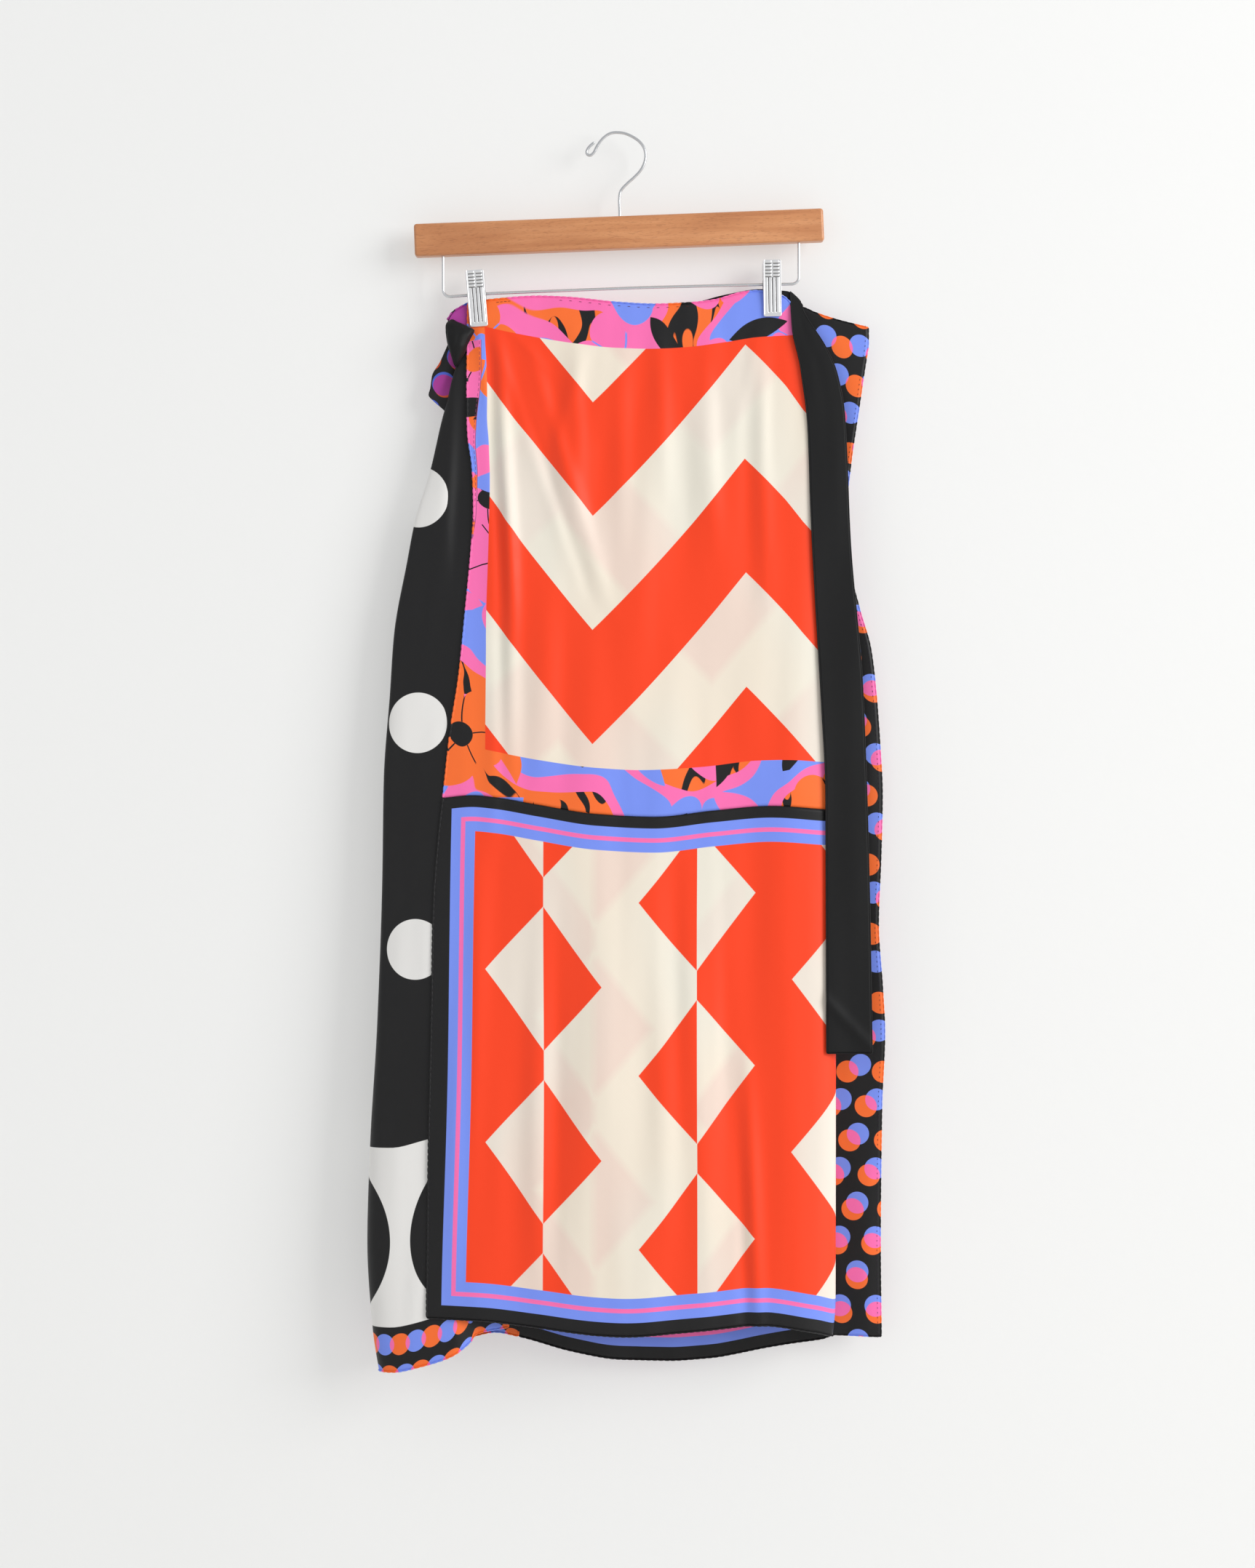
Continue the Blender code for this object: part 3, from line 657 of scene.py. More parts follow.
class Value:
    """A number socket that Python's operators work on. Each operator adds one Math node."""

    def __init__(self, graph: "Graph", socket: Socket) -> None:
        """Wraps a socket of the graph's tree."""
        self.graph = graph
        self.socket = socket

    def __add__(self, other: "Value | float") -> "Value":
        """Adds."""
        return self.graph.math("ADD", self, other)

    def __radd__(self, other: float) -> "Value":
        """Adds to a plain number."""
        return self.graph.math("ADD", other, self)

    def __sub__(self, other: "Value | float") -> "Value":
        """Subtracts."""
        return self.graph.math("SUBTRACT", self, other)

    def __rsub__(self, other: float) -> "Value":
        """Subtracts from a plain number."""
        return self.graph.math("SUBTRACT", other, self)

    def __mul__(self, other: "Value | float") -> "Value":
        """Multiplies."""
        return self.graph.math("MULTIPLY", self, other)

    def __rmul__(self, other: float) -> "Value":
        """Multiplies a plain number."""
        return self.graph.math("MULTIPLY", other, self)

    def __abs__(self) -> "Value":
        """The size of the number."""
        return self.graph.math("ABSOLUTE", self)

    def call(self, operation: str, *others: "Value | float") -> "Value":
        """Any other Math operation on this number."""
        return self.graph.math(operation, self, *others)

    def above(self, edge: "Value | float", soft: float = 0.0004) -> "Value":
        """A mask: 0 below the edge and 1 above it, with a soft step of so many metres."""
        return self.graph.math("ADD", (self - edge) * (1 / soft), 0.5, clamp=True)

    def below(self, edge: "Value | float", soft: float = 0.0004) -> "Value":
        """A mask: 1 below the edge and 0 above it."""
        return 1 - self.above(edge, soft)


class Graph:
    """The node tree of one material, and the few ways that this file adds nodes to it."""

    def __init__(self, name: str) -> None:
        """Starts a material with an empty tree.

        Args:
            name: the material's name.
        """
        self.material = bpy.data.materials.new(name)
        self.material.use_nodes = True
        self.tree = self.material.node_tree
        self.tree.nodes.clear()

    def node(self, kind: str, settings: dict[str, Any] | None = None,
             inputs: dict[int | str, Any] | None = None) -> bpy.types.Node:
        """Adds a node.

        Args:
            kind: the node's type.
            settings: its properties, set first. The key stops holds a ramp's (place, colour) rows.
            inputs: the value or link of each socket, by name or number.

        Returns:
            The node.
        """
        made = self.tree.nodes.new(kind)
        for key, value in (settings or {}).items():
            if key == "stops":
                self._set_stops(made.color_ramp, value)
            else:
                setattr(made, key, value)
        for key, value in (inputs or {}).items():
            source = value.socket if isinstance(value, Value) else value
            if isinstance(source, bpy.types.NodeSocket):
                self.tree.links.new(source, made.inputs[key])
            else:
                made.inputs[key].default_value = source
        return made

    @staticmethod
    def _set_stops(ramp: bpy.types.ColorRamp, stops: Sequence[tuple[float, Colour]]) -> None:
        """Gives a ramp its stops.

        Args:
            ramp: the node's ramp.
            stops: the place and colour of each stop.
        """
        while len(ramp.elements) < len(stops):
            ramp.elements.new(1.0)
        for element, (place, colour) in zip(ramp.elements, stops):
            element.position = place
            element.color = colour

    def math(self, operation: str, *values: Value | float, clamp: bool = False) -> Value:
        """One Math node on numbers."""
        settings = {"operation": operation, "use_clamp": clamp}
        return Value(self, self.node("ShaderNodeMath", settings, dict(enumerate(values))).outputs[0])

    def paint(self, base: Any, *coats: tuple[Value | float, Any]) -> Socket:
        """Lays colours over a base in their order, each where its mask is 1.

        Args:
            base: the lowest colour.
            coats: the mask and the colour of each.

        Returns:
            The colour.
        """
        for mask, colour in coats:
            base = self.node("ShaderNodeMix", {"data_type": "RGBA"}, {0: mask, 6: base, 7: colour}).outputs[2]
        return base

    def ramp(self, share: Value, *stops: tuple[float, Colour], flat: bool = False) -> Socket:
        """A colour for a number from 0 to 1. flat keeps each stop's colour up to the next one.

        Args:
            share: the number.
            flat: makes steps.
            stops: places and colours.

        Returns:
            The colour.
        """
        made = self.node("ShaderNodeValToRGB", {"stops": stops}, {0: share})
        made.color_ramp.interpolation = "CONSTANT" if flat else "LINEAR"
        return made.outputs[0]

    def move(self, vector: Any, scale: Point, shift: Any = (0, 0, 0)) -> Socket:
        """A vector times a scale plus a shift."""
        inputs = {0: vector, 1: scale, 2: shift}
        return self.node("ShaderNodeVectorMath", {"operation": "MULTIPLY_ADD"}, inputs).outputs[0]

    def uv(self, name: str) -> Socket:
        """The piece's own UV map of that name."""
        return self.node("ShaderNodeUVMap", {"uv_map": name}).outputs[0]

    def object_place(self) -> Socket:
        """Object coordinates, which are metres in the row's frame."""
        return self.node("ShaderNodeTexCoord").outputs["Object"]

    def parts(self, vector: Socket) -> tuple[Value, Value, Value]:
        """The three numbers of a vector.

        Args:
            vector: the vector.

        Returns:
            X, Y and Z.
        """
        made = self.node("ShaderNodeSeparateXYZ", inputs={0: vector})
        x, y, z = (Value(self, socket) for socket in made.outputs)
        return x, y, z

    def places(self, name: str) -> tuple[Value, Value]:
        """The two numbers of a UV map."""
        across, down, _ = self.parts(self.uv(name))
        return across, down

    def noise(self, vector: Any, scale: float, detail: float = 2.0, roughness: float = 0.5) -> Value:
        """Smooth noise from 0 to 1."""
        inputs = {"Vector": vector, "Scale": scale, "Detail": detail, "Roughness": roughness}
        return Value(self, self.node("ShaderNodeTexNoise", inputs=inputs).outputs[0])

    def warp(self, vector: Socket, at: Socket, scale: float, detail: float, reach: Point) -> Socket:
        """A vector that is moved by the colours of smooth noise, which is read at another vector."""
        inputs = {"Vector": at, "Scale": scale, "Detail": detail}
        return self.move(self.node("ShaderNodeTexNoise", inputs=inputs).outputs[1], reach, vector)

    def bump(self, height: Value, distance: float, strength: float, below: Any = None) -> Socket:
        """A bumped normal, on top of another where one is given.

        Args:
            height: what raises it.
            distance: its reach in metres.
            strength: how much it counts.
            below: the normal under it.

        Returns:
            The bumped normal.
        """
        inputs = {"Height": height, "Distance": distance, "Strength": strength}
        if below is not None:
            inputs["Normal"] = below
        return self.node("ShaderNodeBump", inputs=inputs).outputs[0]

    def finish(self, inputs: dict[str, Any]) -> Material:
        """Ends the tree with a Principled BSDF that has these sockets.

        Args:
            inputs: the value or link of each.

        Returns:
            The material.
        """
        shader = self.node("ShaderNodeBsdfPrincipled", inputs=inputs)
        self.node("ShaderNodeOutputMaterial", inputs={"Surface": shader.outputs[0]})
        return self.material


def dye(hex_code: str) -> Colour:
    """A colour written as RRGGBB, as the linear values that a shader takes.

    Args:
        hex_code: red, green and blue.

    Returns:
        Red, green, blue and alpha, from 0 to 1.
    """
    parts = [int(hex_code[i : i + 2], 16) / 255 for i in (0, 2, 4)]
    r, g, b = (p / 12.92 if p <= 0.04045 else ((p + 0.055) / 1.055) ** 2.4 for p in parts)
    return (r, g, b, 1.0)


@dataclass(frozen=True)
class Dyes:
    """The colours of one side of the printed cloth."""

    red: Colour
    cream: Colour
    pink: Colour
    orange: Colour
    blue: Colour
    black: Colour
    white: Colour


class Face(Enum):
    """The two sides of the cloth: the printed face, and the reverse, in deeper dyes that are partly painted
    shade.
    """

    PRINTED = Dyes(*map(dye, ("FF4110", "F4E8D6", "FF72B6", "FF722C", "7B95F7", "0C0B0D", "F0EEEB")))
    REVERSE = Dyes(*map(dye, ("C9371C", "D9D0C2", "B03A9A", "E2582A", "5168D8", "161517", "DCDCDA")))


class Pattern(Protocol):
    """What a finish asks of a print."""

    def colour(self, graph: Graph, dyes: Dyes) -> Socket:
        """The colour over the whole piece."""


@dataclass(frozen=True)
class Scatter:
    """Motifs strewn over the cloth, one to a cell and each turned by chance."""

    size: float
    shift: Point
    randomness: float = 0.8

    def cells(self, graph: Graph, uv: Any) -> tuple[Value, Value, Value, Value]:
        """The place in the nearest motif, from its middle in metres, and two chances from 0 to 1.

        Args:
            graph: the node tree.
            uv: the place on the print.

        Returns:
            Along, across and the two chances.
        """
        place = graph.move(uv, (1 / self.size, 1 / self.size, 0), self.shift)
        cell = graph.node("ShaderNodeTexVoronoi", {"voronoi_dimensions": "2D"},
                          {"Vector": place, "Scale": 1.0, "Randomness": self.randomness})
        local = graph.node("ShaderNodeVectorMath", {"operation": "SUBTRACT"},
                           {0: place, 1: cell.outputs["Position"]})
        turn, chance, tint = graph.parts(cell.outputs["Color"])
        spun = graph.node("ShaderNodeVectorRotate", {"rotation_type": "Z_AXIS"},
                          {"Vector": local.outputs[0], "Angle": turn * (2 * math.pi)})
        along, across, _ = graph.parts(spun.outputs[0])
        return along * self.size, across * self.size, chance, tint


@dataclass(frozen=True)
class FloralBorder:
    """Large flowers and leaves in pink, orange and blue on a patched ground with some black."""

    flower: float = 0.042
    flowers_at: Scatter = Scatter(0.104, (3.3, 7.1, 0.0), 0.6)
    leaf_length: float = 0.030
    leaf_width: float = 0.0095
    leaves_at: Scatter = Scatter(0.058, (9.7, 4.4, 0.0))
    patch: float = 0.062
    bend: float = 0.018
    bend_size: float = 0.040

    def colour(self, graph: Graph, dyes: Dyes, uv: Any) -> Socket:
        """The colour at a place on the print: ground patches, flowers, and then leaves.

        Args:
            graph: the node tree.
            dyes: the colours.
            uv: the place on the print.

        Returns:
            The colour.
        """
        bent = graph.warp(uv, uv, 1 / self.bend_size, 0.0, (self.bend, self.bend, 0))
        patch = graph.noise(graph.move(bent, (1, 1.2, 0), self.flowers_at.shift), 1 / self.patch, 0.0)
        colour = graph.paint(dyes.pink, (patch.above(0.56, 0.004), dyes.blue),
                             (patch.below(0.43, 0.004), self.streaked(graph, dyes, bent)))
        return self.leaves(graph, dyes, bent, self.flowers(graph, dyes, bent, colour))

    @staticmethod
    def streaked(graph: Graph, dyes: Dyes, uv: Any) -> Socket:
        """Orange with black streaks that swell and end, a band of noise around its middle value.

        Args:
            graph: the node tree.
            dyes: the colours.
            uv: the place on the print.

        Returns:
            The colour.
        """
        swirl = graph.noise(graph.move(uv, (1.0, 0.45, 0), (2.6, 8.8, 0)), 1 / 0.020, 0.0)
        width = graph.noise(graph.move(uv, (1, 1, 0), (6.1, 0.7, 0)), 1 / 0.030, 0.0) * 0.28 - 0.10
        return graph.paint(dyes.orange, (abs(swirl - 0.5).below(width, 0.01), dyes.black))

    def flowers(self, graph: Graph, dyes: Dyes, uv: Any, below: Any) -> Socket:
        """Five rounded petals with dark lines between them.

        The edge is at the flower's radius times a share that follows the size of the cosine of 2.5 times
        the angle.

        Args:
            graph: the node tree.
            dyes: the colours.
            uv: the place on the print.
            below: the colour under the flowers.

        Returns:
            The colour.
        """
        along, across, chance, tint = self.flowers_at.cells(graph, uv)
        radius = (along * along + across * across).call("SQRT")
        wave = abs((across.call("ARCTAN2", along) * 2.5).call("COSINE"))
        edge = (wave.call("POWER", 0.5) * 0.34 + 0.66) * self.flower
        vein = (wave * radius).below(0.0016, 0.0006) * radius.above(0.011)
        petals = graph.ramp(tint, (0.0, dyes.pink), (0.42, dyes.orange), (0.86, dyes.blue), flat=True)
        heart = graph.ramp(chance, (0.0, dyes.orange), (0.4, dyes.blue), (0.7, dyes.black), flat=True)
        lines = graph.ramp(chance, (0.0, dyes.black), (0.4, dyes.blue), (0.7, dyes.black), flat=True)
        colour = graph.paint(petals, (radius.below(self.flower * 0.26), heart), (vein, lines))
        return graph.paint(below, (radius.below(edge, 0.0005), colour))

    def leaves(self, graph: Graph, dyes: Dyes, uv: Any, below: Any) -> Socket:
        """Pointed leaves: half the width falls with the square of the place along them.

        Args:
            graph: the node tree.
            dyes: the colours.
            uv: the place on the print.
            below: the colour under the leaves.

        Returns:
            The colour.
        """
        along, across, chance, tint = self.leaves_at.cells(graph, uv)
        share = along * (1 / self.leaf_length)
        side = (1 - share * share) * self.leaf_width - abs(across)
        kept = side.above(0.0, 0.0005) * chance.above(0.45, 0.01)
        colour = graph.ramp(tint, (0.0, dyes.orange), (0.18, dyes.blue), (0.48, dyes.pink),
                            (0.74, dyes.black), flat=True)
        return graph.paint(below, (kept, colour))


def see_through(graph: Graph, dyes: Dyes, uv: Socket, behind: Value) -> Socket:
    """Cream cloth, faintly pink where red lies in the layer behind, and faintly cooler in slow patches."""
    pale = graph.noise(graph.move(uv, (1.3, 0.5, 1), (3.1, 1.7, 0)), 7.0, 0.5).above(0.54, 0.16)
    return graph.paint(dyes.cream, (behind * 0.75, dye("F1D7CA")), (pale * 0.5, dye("ECECE0")))


@dataclass(frozen=True)
class ZigzagPrint:
    """Bold zigzag bands in red and cream, with leafy borders above, below and at the free edge."""

    wave: float = 0.268
    rise: float = 0.142
    band: float = 0.098
    left: float = -0.114
    shift: float = 0.020
    behind: Span = (0.064, 0.052)
    facing_from: float = 0.034
    facing_print: Point = (0.31, 0.17, 0)
    stitch: float = 0.0045
    stitch_inset: float = 0.0014

    def colour(self, graph: Graph, dyes: Dyes) -> Socket:
        """The colour over the whole scarf.

        A band repeats down the cloth, raised by a triangle wave across it. The facing along the free edge
        has its own place on the border, with a stitch line along its inner side.

        Args:
            graph: the node tree.
            dyes: the colours.

        Returns:
            The colour.
        """
        uv = graph.uv("print")
        across, down, _ = graph.parts(uv)
        past_facing, below_waist = graph.places("edge")
        behind = self.bands(self.behind[0] - across, down + self.behind[1], 0.012)
        red = self.bands(across, down, 0.0007)
        middle = graph.paint(see_through(graph, dyes, uv, behind), (red, dyes.red))
        inside = across.above(self.left) * down.above(0.0) * down.below(PRINT_HEIGHT * MM)
        faced = below_waist.above(self.facing_from)
        on_facing = past_facing.below(0.0) * faced
        turned = graph.node("ShaderNodeMix", {"data_type": "VECTOR"},
                            {0: on_facing, 4: uv, 5: graph.move(uv, (-1, 1, 0), self.facing_print)})
        border = FloralBorder().colour(graph, dyes, turned.outputs[1])
        dash = (down * (1 / self.stitch)).call("FRACT").below(0.62, 0.05)
        sewn = abs(past_facing + self.stitch_inset).below(0.0003, 0.0002) * on_facing * dash
        # Painted shadow: a dark line along the facing's inner edge, where the turned facing stands off the
        # cloth.
        facing_edge_shadow = abs(past_facing).below(0.00035, 0.0004) * faced
        return graph.paint(border, (inside, middle), (facing_edge_shadow * 0.55, dye("5A1030")),
                           (sewn * 0.7, dye("7A2A5A")))

    def bands(self, across: Value, down: Value, soft: float) -> Value:
        """1 in the red bands, with a step so soft at their edges."""
        peak = (across + self.shift).call("PINGPONG", self.wave / 2) * (self.rise * 2 / self.wave)
        return (down + peak).call("PINGPONG", self.band).above(self.band / 2, soft)


@dataclass(frozen=True)
class LozengePrint:
    """Counterchanged lozenges inside a striped border of black, blue, pink and blue."""

    column: float = 0.134
    row: float = 0.149
    half_width: float = 0.051
    half_height: float = 0.062
    left: float = -0.1428
    slant: float = 0.0185
    black_top: float = 0.0101
    black_hem: float = 0.0117
    stripes: tuple[float, ...] = (0.0, 0.0084, 0.0122, 0.0208)
    shift: float = -0.071
    behind: Span = (0.052, 0.041)

    def colour(self, graph: Graph, dyes: Dyes) -> Socket:
        """The colour over the whole scarf.

        Columns of cream and red alternate. A lozenge sits astride each line between two of them, and swaps
        their colours. Rows are half a step lower at every second line.

        Args:
            graph: the node tree.
            dyes: the colours.

        Returns:
            The colour.
        """
        uv = graph.uv("print")
        across, down, _ = graph.parts(uv)
        above_hem, _ = graph.places("edge")
        behind = self.counterchange(self.behind[0] - across, down + self.behind[1], 0.2, 0.009)
        red = self.counterchange(across, down, 0.014, 0.0006)
        middle = graph.paint(see_through(graph, dyes, uv, behind), (red, dyes.red))
        frame = (across - self.left) + down * self.slant
        depth = frame.call("MINIMUM", down - self.black_top).call("MINIMUM", above_hem - self.black_hem)
        stripes = zip(self.stripes, (dyes.blue, dyes.pink, dyes.blue, middle))
        return graph.paint(dyes.black, *((depth.above(edge), colour) for edge, colour in stripes))

    def counterchange(self, across: Value, down: Value, soft_edge: float, soft_line: float) -> Value:
        """1 where the print is red, with soft steps at the lozenges' edges and along the columns' lines.

        Args:
            across: metres across the print.
            down: metres down it.
            soft_edge: the step at the lozenges' edges.
            soft_line: the step at the columns' lines.

        Returns:
            The mask.
        """
        place = (across + self.shift) * (1 / self.column)
        line = place.call("ROUND")
        odd = line.call("PINGPONG", 1.0)
        side = (place - line) * self.column
        fall = (down * (1 / self.row) + odd * 0.5).call("FRACT") - 0.5
        reach = abs(side) * (1 / self.half_width) + abs(fall) * (self.row / self.half_height)
        column = abs(side.above(0.0, soft_line) - odd)
        return abs(column - reach.below(1.0, soft_edge))


@dataclass(frozen=True)
class DotRows:
    """Round dots in staggered rows."""

    pitch: float
    row: float
    radius: float
    shift: Span
    slant: float = 0.0
    stagger: float = 0.5

    def mask(self, across: Value, down: Value) -> Value:
        """1 inside a dot: the distance to the nearest lattice point is under the radius.

        Args:
            across: metres across the print.
            down: metres down it.

        Returns:
            The mask.
        """
        rows = (down + self.shift[1]) * (1 / self.row)
        row = rows.call("ROUND")
        place = (across + self.shift[0] + down * self.slant) * (1 / self.pitch)
        place = place + row.call("PINGPONG", 1.0) * self.stagger
        side = (place.call("FRACT") - 0.5) * self.pitch
        fall = (rows - row) * self.row
        return (side * side + fall * fall).call("SQRT").below(self.radius)


def two_dots(graph: Graph, dyes: Dyes, blue: Value, orange: Value) -> Socket:
    """Blue and orange dots on black, pink where they overlap."""
    return graph.paint(dyes.black, (blue, dyes.blue), (orange, dyes.orange), (blue * orange, dyes.pink))


@dataclass(frozen=True)
class TwoDotPrint:
    """Pairs of overlapping dots. The orange rows lean against the blue ones, so the pairs drift."""

    orange: DotRows = DotRows(0.031, 0.03025, 0.0096, (0.0613, -0.817), slant=-0.056)
    blue: DotRows = DotRows(0.031, 0.03023, 0.0096, (0.0358, -0.8111))

    def colour(self, graph: Graph, dyes: Dyes) -> Socket:
        """The colour over the whole cloth."""
        place = graph.places("print")
        return two_dots(graph, dyes, self.blue.mask(*place), self.orange.mask(*place))


@dataclass(frozen=True)
class TailPrint:
    """The reverse of the tail's dots, purple in painted shade, with thin rims of blue above and orange below.
    """

    blue: DotRows = DotRows(0.026, 0.0235, 0.0100, (0.1628, 0.0191))
    orange: DotRows = DotRows(0.026, 0.0235, 0.0096, (0.1614, 0.0164))
    middle: DotRows = DotRows(0.026, 0.0235, 0.0092, (0.1628, 0.0176))

    def colour(self, graph: Graph, dyes: Dyes) -> Socket:
        """The colour over the tail, by x and drop.

        Args:
            graph: the node tree.
            dyes: the colours.

        Returns:
            The colour.
        """
        place = graph.places("print")
        return graph.paint(dyes.black, (self.blue.mask(*place), dyes.blue),
                           (self.orange.mask(*place), dyes.orange), (self.middle.mask(*place), dyes.pink))


@dataclass(frozen=True)
class SidePrint:
    """White dots on black, black dots on white near the hem, and a band of two-colour dots along the hem."""

    dots: DotRows = DotRows(0.115, 0.196, 0.0262, (0.1115, 0.076), stagger=0.0)
    big: DotRows = DotRows(0.174, 0.400, 0.078, (0.006, 0.288), stagger=0.0)
    hem_blue: DotRows = DotRows(0.0292, 0.0272, 0.0093, (0.0143, 0.0035), stagger=0.66)
    hem_orange: DotRows = DotRows(0.0292, 0.0272, 0.0093, (-0.0003, 0.0035), stagger=0.66)
    hem_dots: float = 0.034
    hem_band: float = 0.039
    white: float = 0.194
    corner: float = 0.030

    def colour(self, graph: Graph, dyes: Dyes) -> Socket:
        """The colour over the whole scarf, by the height above the hem and the distance below the waist.

        Args:
            graph: the node tree.
            dyes: the colours.

        Returns:
            The colour.
        """
        uv = graph.uv("print")
        across, down, _ = graph.parts(uv)
        above_hem, below_waist = graph.places("edge")
        low = graph.paint(dyes.white, (self.big.mask(across, above_hem), dyes.black))
        keep = above_hem.below(self.hem_dots)
        blue, orange = (dots.mask(across, above_hem) * keep for dots in (self.hem_blue, self.hem_orange))
        # The top corner shows the reverse, whose dyes are partly painted shade.
        corner = FloralBorder().colour(graph, Face.REVERSE.value, graph.move(uv, (1, 1, 0), (0.05, 0.02, 0)))
        return graph.paint(
            dyes.black, (self.dots.mask(across, down), dyes.white), (above_hem.below(self.white), low),
            (above_hem.below(self.hem_band), two_dots(graph, dyes, blue, orange)),
            (below_waist.below(self.corner), corner),
        )


@dataclass(frozen=True)
class PlainBlack:
    """Black cloth with no print, a trace lighter in slow patches."""

    def colour(self, graph: Graph, dyes: Dyes) -> Socket:
        """The colour over the whole piece. The cloth's dyes aren't used."""
        lighter = graph.noise(graph.object_place(), 14.0, 1.0) * 0.06
        return graph.paint(dye("0A0A0B"), (lighter, dye("2E2D30")))


@dataclass(frozen=True)
class SilkFinish:
    """Light smooth cloth: a soft gloss, a thin sheen, and a fine twill weave."""

    roughness: float = 0.50
    sheen: float = 0.06
    weave: float = 1500.0
    specular: float = 0.38

    def dress(self, name: str, pattern: Pattern, face: Face = Face.PRINTED) -> Material:
        """The finished material for a pattern on one face of the cloth.

        The bump has three layers: long soft swells, smaller crinkles, and the twill's diagonal ribs.

        Args:
            name: the material's name.
            pattern: the print.
            face: the side of the cloth that shows.

        Returns:
            The material.
        """
        graph = Graph(name)
        colour = pattern.colour(graph, face.value)
        place = graph.object_place()
        x, _, z = graph.parts(place)
        twill = ((x + z) * self.weave * math.pi).call("SINE") * 0.5 + 0.5
        crinkle = graph.noise(graph.move(place, (1, 1, 0.45)), 34.0, 2.0)
        swell = graph.noise(graph.move(place, (1, 1, 0.10)), 26.0, 1.0)
        normal = graph.bump(crinkle, 0.0012, 0.35, graph.bump(swell, 0.006, 0.55))
        return graph.finish({
            "Base Color": colour,
            "Roughness": graph.noise(place, 60.0, 2.0) * 0.10 + (self.roughness - 0.05),
            "Normal": graph.bump(twill, 0.00005, 0.25, normal),
            "Sheen Weight": self.sheen,
            "Sheen Roughness": 0.45,
            "Specular IOR Level": self.specular,
        })


BLACK_SILK = SilkFinish(roughness=0.60, sheen=0.025, specular=0.31)


@dataclass(frozen=True)
class ThreadFinish:
    """Sewing thread."""

    colour: str

    def dress(self, name: str) -> Material:
        """Matt thread with a fine twist along it.

        Args:
            name: the material's name.

        Returns:
            The material.
        """
        graph = Graph(name)
        twist = graph.noise(graph.object_place(), 2600.0, 1.0)
        colour = graph.paint(dye(self.colour), (twist * 0.35, dye("0C0A0A")))
        normal = graph.bump(twist, 0.0001, 0.4)
        return graph.finish({"Base Color": colour, "Roughness": 0.7, "Normal": normal})


@dataclass(frozen=True)
class ChromeFinish:
    """Bright plating with faint smears from handling, and painted shade in a pressed jaw's grooves and bump
    rows.
    """

    tint: str = "F2F2F3"
    smeared: str = "D6D7DA"
    gloss: float = 0.07
    metal: float = 1.0
    grooves: tuple[float, ...] = ()
    groove_span: Span = (-0.0245, 0.0052)
    groove_half: float = 0.00045
    groove_soft: float = 0.0003
    row_span: Span = (0.0046, 0.0188)
    row_start: float = 0.0056
    row_pitch: float = 0.0028
    row_reach: Span = (0.0008, 0.0060)

    def dress(self, name: str) -> Material:
        """Metal whose gloss varies a little.

        Args:
            name: the material's name.

        Returns:
            The material.
        """
        graph = Graph(name)
        smear = graph.noise(graph.move(graph.object_place(), (1, 1, 0.4)), 160.0, 3.0)
        colour = graph.paint(dye(self.tint), (smear * 0.20, dye(self.smeared)))
        # A jaw with grooves gets painted shade: dark lines in its grooves and between its bumps.
        if self.grooves:
            colour = self.painted_groove_shade(graph, colour)
        rough = smear * 0.08 + self.gloss
        return graph.finish({"Base Color": colour, "Metallic": self.metal, "Roughness": rough})

    def painted_groove_shade(self, graph: Graph, below: Socket) -> Socket:
        """Painted shade: dark lines in the grooves, at set places across the jaw's own UV map, and between
        its bumps.

        Args:
            graph: the node tree.
            below: the colour of the clean metal.

        Returns:
            The colour.
        """
        across, height = graph.places("print")
        down = height.below(self.groove_span[1]) * height.above(self.groove_span[0])
        # Painted shade: a dark line along each groove.
        grooves = (abs(across - at).below(self.groove_half, self.groove_soft) for at in self.grooves)
        colour = graph.paint(below, *((groove * down, dye("2E2B2B")) for groove in grooves))
        # Painted shade: dark lines between the rows of bumps.
        row = (height - self.row_start) * (1 / self.row_pitch)
        line = (abs(row - row.call("ROUND")) * self.row_pitch).below(self.groove_half, self.groove_soft)
        reach = abs(across).below(self.row_reach[1]) * abs(across).above(self.row_reach[0])
        rows = line * reach * height.above(self.row_span[0]) * height.below(self.row_span[1])
        return graph.paint(colour, (rows * 0.8, dye("3A3636")))


@dataclass(frozen=True)
class WoodFinish:
    """Reddish brown wood under a satin varnish, with its grain along the bar."""

    tilt: float

    def dress(self, name: str) -> Material:
        """Long streaks of grain, fine pores, slow changes of colour, and darker towards the bar's left end.

        Args:
            name: the material's name.

        Returns:
            The material.
        """
        graph = Graph(name)
        turned = graph.node("ShaderNodeMapping",
                            inputs={"Vector": graph.object_place(), "Rotation": (0, self.tilt, 0)})
        place = turned.outputs[0]
        bent = graph.warp(place, graph.move(place, (7, 30, 30)), 1.0, 2.0, (0.0, 0.012, 0.012))
        streak = graph.noise(graph.move(bent, (5, 150, 150)), 1.0, 3.0, 0.55)
        pores = graph.noise(graph.move(bent, (190, 1500, 1500)), 1.0, 2.0, 0.5)
        along, _, _ = graph.parts(place)
        # Random slow patches, and darker towards the bar's left end.
        tone_darker_to_left = graph.noise(graph.move(place, (11, 34, 34)), 1.0, 1.5) - along.above(-0.09, 0.12) * 0.16 + 0.13
        grain = graph.ramp(streak, (0.25, dye("C07C4E")), (0.48, dye("D28E5C")), (0.62, dye("DA9765")),
                           (0.8, dye("E2A372")))
        return graph.finish({
            "Base Color": graph.paint(grain, (tone_darker_to_left.above(0.55, 0.22) * 0.42, dye("B06C40")),
                                      (pores.above(0.60, 0.08) * 0.30, dye("8E5330"))),
            "Roughness": streak * 0.14 + 0.34,
            "Normal": graph.bump(streak * 0.6 + pores * 0.4, 0.00012, 0.35),
            "Coat Weight": 0.30,
            "Coat Roughness": 0.22,
        })


